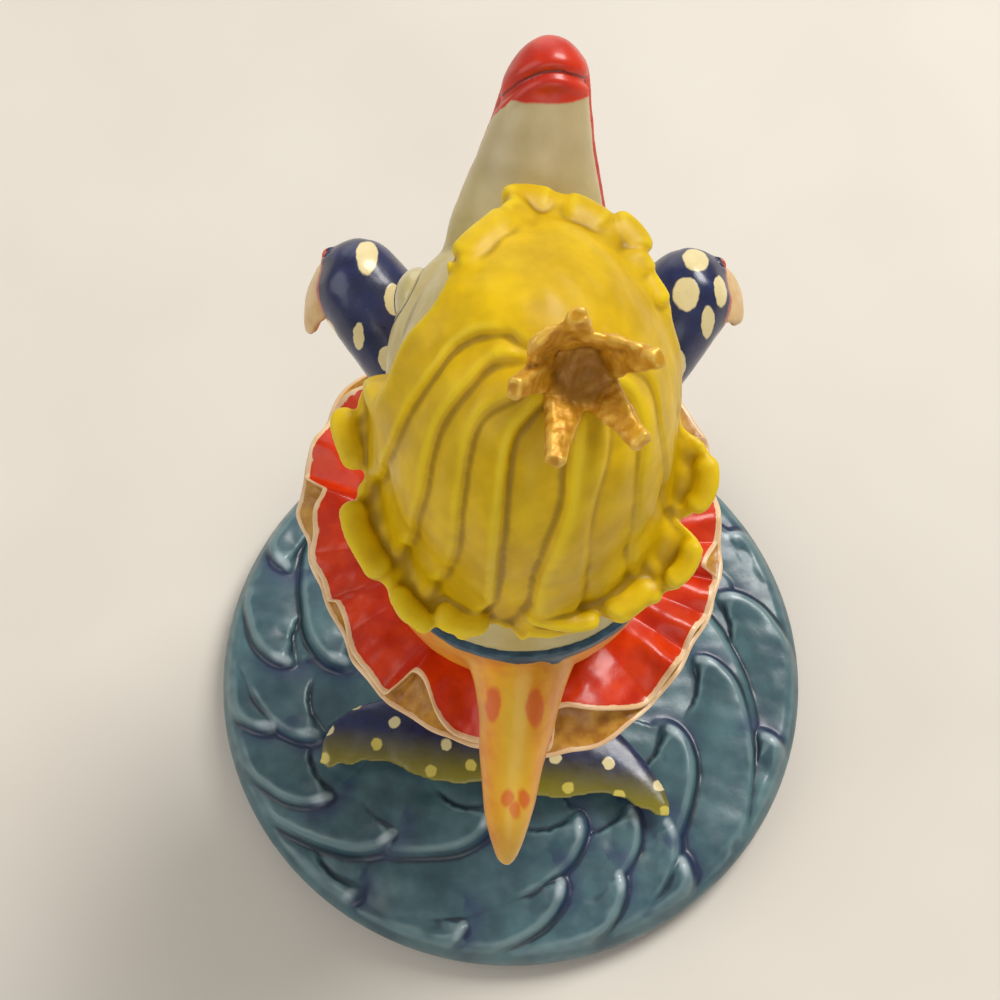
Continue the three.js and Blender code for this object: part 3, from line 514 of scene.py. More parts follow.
waveBase = {
    "radius": 51.0,
    "columns": 720,
    "rows": 190,
    # outline of the rim from the underside up: distance from the middle, height
    "rim": [
        (46.0, 1.0), (48.6, 1.05), (49.9, 1.7), (50.65, 2.9), (50.94, 4.3), (50.86, 5.4), (50.5, 6.3),
        (49.9, 7.0),
    ],
    "underside": 1.0,
    "rimTop": 7.0,
    "rise": 5.7,  # from the rim to the flat middle
    "flat": 12.0,  # radius of the flat middle
    "height": 2.9,  # of a full wave
    "drop": 2.2,  # width of the slope beyond a crest
    "lip": 4.2,  # and of the slope behind it
    "body": 11.0,  # width of a wave's soft side
    "scoop": 0.6,  # depth of the hollow behind its head
    # head of each wave: turn in degrees, distance from the middle as a share of the radius,
    # share of the full height
    "heads": [
        (-27, 0.83, 0.95), (-3, 0.73, 1), (13, 0.8, 0.9), (-3, 0.53, 1), (18, 0.67, 0.9),
        (35, 0.73, 1), (54, 0.67, 1), (54, 0.9, 0.8), (78, 0.86, 0.8), (79, 0.5, 0.9),
        (100, 0.73, 1), (109, 0.56, 0.9), (114, 0.77, 0.9), (125, 0.62, 0.8), (128, 0.84, 0.9),
        (131, 0.72, 0.8), (162, 0.86, 0.9), (153, 0.55, 1.05), (178, 0.61, 1.05), (196, 0.74, 1.05),
        (210, 0.86, 0.9), (226, 0.68, 1), (240, 0.84, 0.9), (254, 0.65, 1), (268, 0.87, 0.9),
        (282, 0.72, 1), (297, 0.88, 0.9), (309, 0.66, 0.9), (318, 0.79, 0.9), (205, 0.5, 0.8),
        (245, 0.47, 0.8), (290, 0.49, 0.8), (335, 0.55, 0.8),
    ],
    # the crest from a head outward: on along the round, and out
    "crest": [
        (1.2, 0.2), (1.4, 2), (0.4, 4.6), (-2.4, 7.4), (-6.5, 9.6), (-12, 12.2), (-18, 14.8), (-26, 17.5),
    ],
    "gloss": {"rough": (0.3, 0.48), "depth": 0.03, "coat": 0.2, "coatRough": 0.22},
    "colors": {
        "glaze": ((82, 116, 122), (58, 88, 98)),
        # painted shade in hollows, then a painted highlight on edges
        "hollow": (24, 38, 52),
        "edge": (128, 154, 156),
        "shade": (38, 44, 92),
        # white foam paint with a painted highlight on it
        "foamAndHighlight": (196, 210, 216),
        # painted shade on the underside of the rim
        "foot": (38, 34, 48),
    },
}


# Distance to a crest, whether beyond it, and the run along it from the head
def besideCrest(px, py, line):
    steps = np.linalg.norm(np.diff(line, axis=0), axis=1)
    run = np.concatenate([[0], np.cumsum(steps)])
    best = np.full(px.shape, 1e9)
    beyond = np.zeros(px.shape, bool)
    part = np.zeros_like(best)
    for k in range(len(line) - 1):
        (ax, ay), (bx, by) = line[k], line[k + 1]
        dx, dy = bx - ax, by - ay
        t = np.clip(((px - ax) * dx + (py - ay) * dy) / (dx * dx + dy * dy), 0, 1)
        gx, gy = px - ax - t * dx, py - ay - t * dy
        away = np.hypot(gx, gy)
        closer = away < best
        best = np.where(closer, away, best)
        beyond = np.where(closer, dx * gy - dy * gx > 0, beyond)
        part = np.where(closer, run[k] + t * steps[k], part)
    return best, beyond, part


# Height over the base, the white foam with its painted highlight, and the painted shade, at places on it
def waveField(x, y, spec):
    height = np.zeros_like(x)
    scoop = np.zeros_like(x)
    foamAndHighlight = np.zeros_like(x)
    shade = np.zeros_like(x)
    crest = spline(spec["crest"], 36)
    for turn, reach, share in spec["heads"]:
        start = spec["radius"] * reach
        out = start + crest[:, 1]
        angle = math.radians(turn) + crest[:, 0] / (start + 0.6 * crest[:, 1])
        line = np.stack([out * np.cos(angle), out * np.sin(angle)], 1)
        margin = spec["body"] + 3
        near = (x > line[:, 0].min() - margin) & (x < line[:, 0].max() + margin)
        near &= (y > line[:, 1].min() - margin) & (y < line[:, 1].max() + margin)
        away, beyond, run = besideCrest(x[near], y[near], line)
        full = spec["height"] * share * smooth(run, -1, 3) * (1 - 0.55 * smooth(run, 8, 30))
        drop = 1 - smooth(away, 0.2, spec["drop"])
        floor = mixed(0.55, 0.8, smooth(run, 3, 14)) * (1 - smooth(away, 3, spec["body"]))
        body = mixed(1, floor, smooth(away, 0.1, spec["lip"]))
        height[near] = np.maximum(height[near], full * np.where(beyond, drop, body))
        hollow = np.exp(-(((away - 3.4) / 1.9) ** 2)) * smooth(run, 0, 3) * (1 - smooth(run, 7, 15))
        scoop[near] = np.maximum(scoop[near], np.where(beyond, 0, hollow))
        # white foam paint at each head, brightened as a painted highlight
        tip = smooth(run, 0.2, 1.6) * (1 - smooth(run, 3.0, 6.5))
        foamAndHighlight[near] = np.maximum(foamAndHighlight[near], np.exp(-((away / 0.95) ** 2)) * tip * share)
        # a faint painted highlight along each crest
        pale = np.exp(-((away / 1.6) ** 2)) * (1 - smooth(run, 8, 22)) * 0.12
        foamAndHighlight[near] = np.maximum(foamAndHighlight[near], pale)
        blue = np.exp(-(((away - 2.0) / 1.6) ** 2)) * (1 - smooth(run, 3, 9))
        shade[near] = np.maximum(shade[near], blue * np.where(beyond, 1.0, 0.1))
    height -= spec["scoop"] * scoop * (1 - np.clip(1.4 * height / spec["height"], 0, 1))
    return height, foamAndHighlight, shade


def makeBase(spec):
    columns, rows = spec["columns"], spec["rows"]
    turn = np.linspace(0, 2 * np.pi, columns, endpoint=False)
    wall = spline(spec["rim"], 40)
    radius = np.concatenate([wall[:, 0], np.linspace(49.6, 0.4, rows)])
    r, a = np.meshgrid(radius, turn, indexing="ij")
    x, y = r * np.cos(a), r * np.sin(a)
    slope = np.clip((r - spec["flat"]) / (spec["radius"] - spec["flat"]), 0, 1)
    z = spec["rimTop"] + spec["rise"] * (1 - slope**1.6)
    z[: len(wall)] = wall[:, 1, None]
    height, foamAndHighlight, shade = waveField(x, y, spec)
    top = smooth(z, 4.6, 7.0)
    fade = smooth(r, spec["flat"], 25) * (1 - smooth(r, 48, spec["radius"])) * top
    z = z + height * fade
    points = np.stack([x, y, z], -1).reshape(-1, 3)
    points[:, 2] += 0.06 * wobble(points, 5.0, 3) * (points[:, 2] > 3)
    faces = cappedFaces(len(radius), columns)
    points = np.vstack([points, [0, 0, spec["underside"]], [0, 0, points[-1, 2]]])
    points = relaxed(points, faces, 3, 0.5)
    points[:, 2] = np.maximum(points[:, 2], spec["underside"])
    ends = [0.0, 0.0]
    values = {
        "foamAndHighlight": np.concatenate([(foamAndHighlight * fade).ravel(), ends]),
        "shade": np.concatenate([(shade * fade).ravel(), ends]),
    }
    paint, hue = Paint("wave_paint"), spec["colors"]
    color = paint.mottled(hue["glaze"], 9.0)
    # painted shade in the hollows and a painted highlight on the edges
    color = paint.patchesShadeAndHighlight(color, hue["hollow"], hue["edge"], 0.85)
    color = paint.blend(color, hue["shade"], paint.value("shade"), 0.5)
    streaks = paint.ramp(paint.noise(2.2, 4.0), 0.25, 0.75, 0.6, 1.0)
    white = paint.math("MULTIPLY", paint.ramp(paint.value("foamAndHighlight"), 0.2, 0.95), streaks)
    color = paint.blend(color, hue["foamAndHighlight"], white, 0.7)
    # painted shade: darker towards the bottom of the rim
    height = paint.vector("DOT_PRODUCT", paint.place, (0, 0, 1))
    color = paint.blend(color, hue["foot"], paint.ramp(height, 4.2, 1.2), 0.75)
    material = paint.finish(color, paint.noise(0.8, 4.0), **spec["gloss"])
    addPiece("wave_base_glaze", points, faces, ["wave_base"], material, values)


makeBase(waveBase)
report("base")


# Tail and flukes

tail = {
    # places up the body: x, y, z, half width, half depth
    "stations": [
        (1.6, 4.5, 12.8, 7.0, 6.5), (1.4, 3.2, 22.1, 5.6, 6.0), (0.8, -0.8, 31.9, 7.7, 8.1),
        (0, -3.4, 45.9, 12.6, 12.9), (0, -1.2, 60.5, 15.9, 16.2), (0, 3.4, 74.6, 17.8, 18.2),
    ],
    # one half of the fin: share of its reach, front edge, back edge
    "outline": [
        (0, -18, -1.8), (0.12, -17.6, 0.2), (0.23, -17, 1.0), (0.43, -15.5, 0.9), (0.65, -13, -0.9),
        (0.83, -8.5, 0.3), (0.95, -4.6, 1.3), (1, -1.5, 0.8),
    ],
    "blunt": 3.2,  # extra width of the left tip
    "reach": 31.4,
    "overlap": 1.5,  # of the two halves
    "thick": (2.3, 0.75),  # half thickness at the root and at the tip
    "middle": (3.0, 23.1, 16.4),
    "turn": -8.4,
    "foot": 12.4,  # the body ends here on the base
    # places of the fin's dots: x, y
    "dots": [
        (26.5, 8.9), (31.1, 13.1), (19.7, 12.6), (10.9, 16.5), (-7.4, 18.9), (-16.3, 19.6), (-24.8, 23),
    ],
    "yellowDots": [
        (22.7, 16.1), (31.6, 18.2), (13.5, 20.8), (6.8, 19.9), (-9.5, 23.7), (-18, 24.9), (-25.8, 27.3),
    ],
    # rows of dots round the body: height, how many, half width, how far back
    "dotRows": [
        (30, 5, 7.5, -0.2), (40, 7, 11, -2.6), (50, 8, 14, -3.3), (60, 9, 16, -1.2), (70, 9, 17.5, 2.0),
    ],
    "bodyDot": 1.9,
    "dotLevel": 16.8,  # height of the fin's dots
    "gloss": {"rough": (0.26, 0.42), "depth": 0.03, "coat": 0.3, "coatRough": 0.18},
    "colors": {
        "olive": (118, 108, 22),
        "rim": (150, 138, 26),
        "dots": (222, 206, 152),
        "yellowDots": (206, 188, 84),
    },
}


def flukeBody(sign, spec):
    rows = spline(spec["outline"], 46)
    share, front, back = rows.T
    share = np.clip(share, 0, 1)
    if sign > 0:
        front = front - spec["blunt"] * smooth(share, 0.6, 0.95)
    x = sign * (spec["reach"] * share - spec["overlap"])
    half = mixed(*spec["thick"], share)
    middle = (front + back) / 2
    lift = 1.1 * np.sin(np.pi * share) - 1.2 * share
    turn = np.linspace(0, 2 * np.pi, 28, endpoint=False)
    taper = 1 - 0.55 * np.maximum(0, np.cos(turn))
    y = middle[:, None] + ((back - front) / 2)[:, None] * np.cos(turn)
    z = lift[:, None] + half[:, None] * taper * np.sin(turn)
    rings = np.stack([np.repeat(x[:, None], 28, 1), y, z], -1)
    a = math.radians(spec["turn"])
    spin = np.array([[math.cos(a), -math.sin(a), 0], [math.sin(a), math.cos(a), 0], [0, 0, 1]])
    return loft(rings @ spin.T + np.array(spec["middle"]))


# The navy of the tail and the sleeves
def navyColor(paint):
    return paint.mottled(((30, 38, 84), (20, 24, 52)), 3.0, 4.0, high=0.75, stretch=(1, 1, 0.4))


def makeTail(spec):
    parts = [limb(spec["stations"], 72, 90, level=True), flukeBody(1, spec), flukeBody(-1, spec)]
    points, faces = fused(parts, 0.5, 7)
    points[:, 2] = np.maximum(points[:, 2], spec["foot"])
    points += normalsOf(points, faces) * (0.05 * wobble(points, 7.0, 11))[:, None]
    paint, hue = Paint("tail_paint"), spec["colors"]
    at = paint.ragged(0.35)
    color = navyColor(paint)
    a = math.radians(spec["turn"])
    edge = paint.side(at, spec["middle"], (-math.sin(a), math.cos(a), 0))
    low = paint.ramp(paint.side(at, (0, 0, 24), (0, 0, -1)), 0, 4)
    olive = paint.math("MULTIPLY", paint.ramp(edge, -7.5, -0.5), low)
    color = paint.blend(color, hue["olive"], olive, 0.95)
    rim = paint.math("MULTIPLY", paint.ramp(edge, -3.0, 1.4), low)
    color = paint.blend(color, hue["rim"], rim, 0.6)
    level = spec["dotLevel"]
    cream = paint.either([paint.spot(at, (x, y, level), (1.05, 1.05, 4), 0.14) for x, y in spec["dots"]])
    ochre = paint.either([paint.spot(at, (x, y, level), (1, 1, 4), 0.16) for x, y in spec["yellowDots"]])
    bodyDots = []
    for row, (z, count, wide, back) in enumerate(spec["dotRows"]):
        for k in range(count):
            turn = 2 * math.pi * (k + 0.5 * (row % 2)) / count + 0.3
            centre = (wide * math.cos(turn), back + wide * math.sin(turn), z + (k * 7 % 3 - 1) * 0.8)
            bodyDots.append(paint.spot(at, centre, (spec["bodyDot"],) * 3, 0.08))
    color = paint.blend(color, hue["dots"], paint.either([cream, *bodyDots]))
    color = paint.blend(color, hue["yellowDots"], ochre)
    grain = paint.math("ADD", paint.noise(0.9, 4.0), paint.math("MULTIPLY", cream, 0.8))
    material = paint.finish(color, grain, **spec["gloss"])
    nodes = ["tail_stock", "left_fluke", "right_fluke"]
    addPiece("tail_and_flukes", points, faces, nodes, material)


makeTail(tail)
report("tail")


# Bodice and dorsal fin

bodice = {
    # places up the body and out along the fin: x, y, z and two half sizes
    "torso": [
        (0, 3.4, 73.6, 17.7, 18.1), (-0.35, 5.7, 84.9, 18.8, 19.2), (-0.7, 7.6, 96.1, 19.4, 19.9),
        (-1, 8.7, 103, 19.4, 19.9), (-1, 9.0, 106.2, 19.35, 19.85),
    ],
    "fin": [
        (-1.4, 17, 95, 7.6, 9.4), (-0.8, 25, 94.9, 7.2, 10.4), (-0.6, 29, 94.0, 5.9, 9.0),
        (-0.3, 33, 92.4, 5.0, 7.2), (0.3, 38, 89.8, 4.2, 5.6), (0.8, 43.6, 87.3, 3.3, 4.2),
        (1.0, 47.8, 84.2, 2.0, 2.7), (1.1, 49.9, 82.6, 1.0, 1.3),
    ],
    "collar": 104.5,  # lower edge of the blue line
    "collarMore": 2.6,  # how far it reaches down where it is broader
    "collarRaised": (103.6, 104.4, 106.0, 106.4),  # it stands out from the first two heights to the last
    # red spots on the fin: centre, half sizes, softness
    "spots": [
        ((2.8, 33.1, 99.6), (1.05, 2.0, 5), 0.22), ((-2.5, 33.6, 99.6), (1.15, 2.1, 5), 0.22),
        ((0.95, 43.5, 92), (0.85, 1.05, 3), 0.3), ((-1.15, 43.4, 92), (0.85, 1.15, 3), 0.3),
        ((-0.05, 44.7, 91), (0.75, 1.0, 3), 0.4),
    ],
    "gloss": {"rough": (0.3, 0.45), "depth": 0.03, "coat": 0.15, "coatRough": 0.18, "specular": 0.4},
    "colors": {
        "orange": ((238, 166, 10), (228, 138, 8)),
        "ridge": (232, 192, 52),
        "spots": (220, 84, 18),
        "finEnd": (150, 84, 20),
        # painted shade in hollows, then a painted highlight on edges
        "hollow": (178, 92, 10),
        "edge": (244, 198, 72),
        "collar": ((38, 66, 84), (56, 88, 104)),
    },
}


def makeBodice(spec):
    parts = [limb(spec["torso"], 84, 60, level=True), limb(spec["fin"], 48, 60)]
    points, faces = fused(parts, 0.45, 10)
    foot, start, end, top = spec["collarRaised"]
    rim = smooth(points[:, 2], foot, start) * (1 - smooth(points[:, 2], end, top))
    around = np.arctan2(points[:, 1] - 9, points[:, 0] + 1)
    edge = spec["collar"] + 0.1 + 0.25 * np.sin(3 * around) + 0.15 * np.sin(8 * around + 1)
    raised = smooth(points[:, 2], edge - 0.3, edge + 0.2)
    normals = normalsOf(points, faces)
    outward = 1 - smooth(np.abs(normals[:, 2]), 0.4, 0.8)
    points += normals * ((0.3 * raised * rim + 0.05 * wobble(points, 6.0, 5)) * outward)[:, None]
    paint, hue = Paint("bodice_paint"), spec["colors"]
    at = paint.ragged(0.4, 2.0)
    color = paint.mottled(hue["orange"], 3.2, 4.0, high=0.72)
    ridge = paint.ramp(paint.vector("LENGTH", paint.vector("MULTIPLY", at, (1, 0, 0))), 3.2, 0.6)
    finOnly = paint.ramp(paint.side(at, (0, 29, 0), (0, 1, 0)), -1, 5)
    color = paint.blend(color, hue["ridge"], paint.math("MULTIPLY", ridge, finOnly), 0.75)
    spots = paint.either([paint.spot(at, *spot) for spot in spec["spots"]])
    color = paint.blend(color, hue["spots"], spots, 0.85)
    end = paint.ramp(paint.side(at, (0, 44, 0), (0, 1, 0)), 0, 6)
    color = paint.blend(color, hue["finEnd"], end, 0.5)
    # painted shade in the hollows and a painted highlight on the edges
    color = paint.patchesShadeAndHighlight(color, hue["hollow"], hue["edge"], 0.5)
    # the collar line is brushed broader beside the fin, on the dolphin's right
    beside = paint.ramp(paint.side(at, (0, 0, 0), (1, 0, 0)), -2.5, -6.0)
    behind = paint.ramp(paint.side(at, (0, 14, 0), (0, 1, 0)), 0, 6)
    broader = paint.math("MULTIPLY", paint.math("MULTIPLY", beside, behind), spec["collarMore"])
    above = paint.side(at, (0, 0, spec["collar"]), (0, 0, 1))
    band = paint.ramp(paint.math("ADD", above, broader), -0.12, 0.12)
    color = paint.blend(color, paint.mottled(hue["collar"], 2.0, low=0.4), band)
    material = paint.finish(color, paint.noise(0.9, 4.0), **spec["gloss"])
    addPiece("bodice_and_dorsal_fin", points, faces, ["torso", "dorsal_fin"], material)


makeBodice(bodice)
report("bodice")


# Head and beak

head = {
    # places up the neck: x, y, z and two half sizes
    "neck": [
        (-1, 9, 105.9, 19.0, 19.5), (-1, 8.6, 110, 18.6, 19.3), (-1, 8.0, 115, 17.9, 19.4),
        (-1, 6.8, 127, 15.9, 19.1), (-1, 6, 133.5, 15.0, 18.8),
    ],
    # along the beak: share of its length, half width, half depth
    "beak": [
        (-0.45, 10.6, 7.4), (0, 9.6, 7.4), (0.4, 7.1, 5.3), (0.72, 5.2, 4.2), (0.86, 4.3, 4.0),
        (0.94, 3.1, 3.3), (0.985, 1.9, 2.1), (1.0, 0.8, 0.8),
    ],
    "swerve": (2.3, 0.5),  # how far the beak leans aside, evenly and near its tip
    "mouthHalf": 9.0,  # the mouth ends this far aside of the beak's axis
    "lean": 0.1,  # the mouth is a little lower on the left
    "lipFront": 20.7,  # the upper lip ends here along the beak, and earlier at its sides
    "lipCurve": 0.12,
    "lipAside": 2.4,  # how far the lip's middle lies aside of the beak's root
    "mouthAside": 0.4,  # and the mouth's
    "tipFrom": 16.9,  # red from here to the beak's end
    "eye": {
        "out": 12.7,
        "centre": (-8.2, 130.6),
        "half": (3.0, 4.2, 4.3),
        "lidLine": ((3.9, 5.2, 5.3), (3.55, 4.85, 4.95)),  # its outer and inner edge
        "iris": 1.75,
        "pupil": 1.0,
        # size of the painted highlight dot
        "glintDot": 0.32,
        "gloss": {"rough": (0.15, 0.28), "depth": 0.01, "coat": 0.5, "coatRough": 0.08},
        "colors": {
            "lid": ((214, 200, 148), (196, 180, 124)),
            "ball": (238, 234, 222),
            "iris": (40, 92, 150),
            "pupil": (10, 10, 14),
            # painted highlight dot in the eye
            "glintDot": (250, 250, 250),
            "lidEdge": (20, 16, 16),
        },
    },
    "gloss": {"rough": (0.3, 0.45), "depth": 0.03, "coat": 0.25, "coatRough": 0.2},
    "colors": {
        "skin": ((208, 190, 124), (192, 172, 102)),
        # painted shade below the hair
        "shadeBelowHair": (168, 152, 84),
        "beak": (196, 178, 138),
        # painted shade in hollows, then a painted highlight on edges
        "hollow": (140, 118, 68),
        "edge": (228, 216, 176),
        "lips": ((218, 50, 6), (188, 32, 4)),
        "crack": (96, 16, 8),
        "lidLine": (26, 20, 18),
    },
}


def makeHead(spec):
    stations = []
    for share, across, over in spec["beak"]:
        place = beakRoot + beakWay * beakLength * share
        aside = beakRoot[0] - spec["swerve"][0] * share - spec["swerve"][1] * share**4
        stations.append((aside, place[1], place[2], across, over))
    parts = [
        ball(skull["centre"], skull["half"]),
        ball(faceEgg["centre"], faceEgg["half"], -53),
        limb(spec["neck"], 84, 50, level=True),
        limb(stations, 56, 80),
    ]
    points, faces = fused(parts, 0.42, 9)
    normals = normalsOf(points, faces)
    local = points - beakRoot
    along = local @ beakWay
    mouth = local @ chinWay - spec["lean"] * local[:, 0]
    front = spec["lipFront"] - spec["lipCurve"] * (local[:, 0] + spec["lipAside"]) ** 2
    mouth = np.maximum(mouth, (along - front) * 0.9)
    reach = np.abs(local[:, 0] + spec["mouthAside"])
    onBeak = smooth(along, -3.5, -0.5) * (1 - smooth(reach, spec["mouthHalf"] - 0.6, spec["mouthHalf"] + 0.2))
    groove = np.exp(-((mouth / 0.4) ** 2)) * onBeak
    lips = np.exp(-(((np.abs(mouth) - 1.1) / 0.7) ** 2)) * smooth(along, 14, 18) * 0.25
    points += normals * (lips - 0.5 * groove + 0.04 * wobble(points, 6.0, 21))[:, None]
    paint, hue = Paint("skin_paint"), spec["colors"]
    at = paint.ragged(0.25, 1.6)
    color = paint.mottled(hue["skin"], 6.0)
    # painted shade: the head is darker towards the neck, below the hair
    belowHairShade = paint.ramp(paint.side(paint.place, (0, 0, 132), (0, 0, -1)), -2, 20)
    color = paint.blend(color, hue["shadeBelowHair"], belowHairShade, 0.35)
    pale = paint.ramp(paint.side(paint.place, tuple(beakRoot), tuple(beakWay)), 0, 12)
    color = paint.blend(color, hue["beak"], pale, 0.8)
    # painted shade in the hollows and a painted highlight on the edges
    color = paint.patchesShadeAndHighlight(color, hue["hollow"], hue["edge"], 0.4)
    lengthwise = paint.side(at, tuple(beakRoot), tuple(beakWay))
    past = paint.side(at, tuple(beakRoot), (-spec["lean"], chinWay[1], chinWay[2]))
    acrossBeak = paint.side(at, (beakRoot[0] - spec["lipAside"], 0, 0), (1, 0, 0))
    lipFront = paint.math("MULTIPLY", paint.math("MULTIPLY", acrossBeak, acrossBeak), spec["lipCurve"])
    lipFront = paint.math("ADD", paint.math("SUBTRACT", lengthwise, spec["lipFront"]), lipFront)
    acrossMouth = paint.math("ABSOLUTE", paint.math("MAXIMUM", past, paint.math("MULTIPLY", lipFront, 0.9)))
    tip = paint.ramp(lengthwise, spec["tipFrom"], spec["tipFrom"] + 0.4)
    beside = paint.side(at, (beakRoot[0] - spec["mouthAside"], 0, 0), (1, 0, 0))
    beside = paint.math("ABSOLUTE", beside)
    beside = paint.ramp(beside, spec["mouthHalf"], spec["mouthHalf"] - 0.4)
    corner = paint.math("MULTIPLY", paint.ramp(lengthwise, -1.5, -0.5), beside)
    edging = paint.math("MULTIPLY", paint.ramp(acrossMouth, 0.95, 0.75), corner)
    color = paint.blend(color, paint.mottled(hue["lips"], 6.0), paint.math("MAXIMUM", tip, edging))
    crack = paint.math("MULTIPLY", paint.ramp(acrossMouth, 0.26, 0.06), corner)
    color = paint.blend(color, hue["crack"], crack, 0.8)
    lines = []
    for sign in (1, -1):
        centre = (figureShift + sign * spec["eye"]["out"], *spec["eye"]["centre"])
        outer, inner = (paint.spot(at, centre, radii, 0.02) for radii in spec["eye"]["lidLine"])
        upper = paint.ramp(paint.side(at, centre, (0, 0.55, 0.83)), -0.5, 0.5)
        lines.append(paint.math("MULTIPLY", paint.math("SUBTRACT", outer, inner, clamp=True), upper))
    color = paint.blend(color, hue["lidLine"], paint.either(lines))
    material = paint.finish(color, paint.noise(0.9, 4.0), **spec["gloss"])
    addPiece("head_and_beak", points, faces, ["head", "lower_jaw"], material)


def makeEye(sign, spec):
    name = "left" if sign > 0 else "right"
    y, z = spec["centre"]
    centre = np.array([figureShift + sign * spec["out"], y, z])
    points, faces = ball(centre, spec["half"], 0, 48)
    paint, hue = Paint(name + "_eye_paint"), spec["colors"]
    at = paint.ragged(0.06, 1.0)
    look = unit(np.array([sign * 0.82, -0.5, -0.05]))
    down = paint.side(at, tuple(centre), tuple(unit(np.array([sign * 0.35, -0.25, -0.9]))))
    pupil = centre + look * np.array(spec["half"]) * 0.98 + np.array([0, 0, -0.9])
    # a painted highlight dot in the eye, a little above the pupil
    glintDot = pupil + np.array([0, 0.5, 0.6])
    seen = hue["ball"]
    for key, place, soft in (("iris", pupil, 0.08), ("pupil", pupil, 0.1), ("glintDot", glintDot, 0.2)):
        seen = paint.blend(seen, hue[key], paint.spot(at, place, (spec[key],) * 3, soft))
    color = paint.blend(paint.mottled(hue["lid"], 3.0), seen, paint.ramp(down, -0.3, 0.1))
    fromEdge = paint.math("ABSOLUTE", paint.math("ADD", down, 0.15))
    line = paint.math("SUBTRACT", 1.0, paint.ramp(fromEdge, 0.28, 0.42))
    color = paint.blend(color, hue["lidEdge"], line)
    material = paint.finish(color, paint.noise(1.0), **spec["gloss"])
    addPiece(name + "_eye_dome", points, faces, [name + "_eye"], material)


makeHead(head)
makeEye(1, head["eye"])
makeEye(-1, head["eye"])
report("head")


# Wig

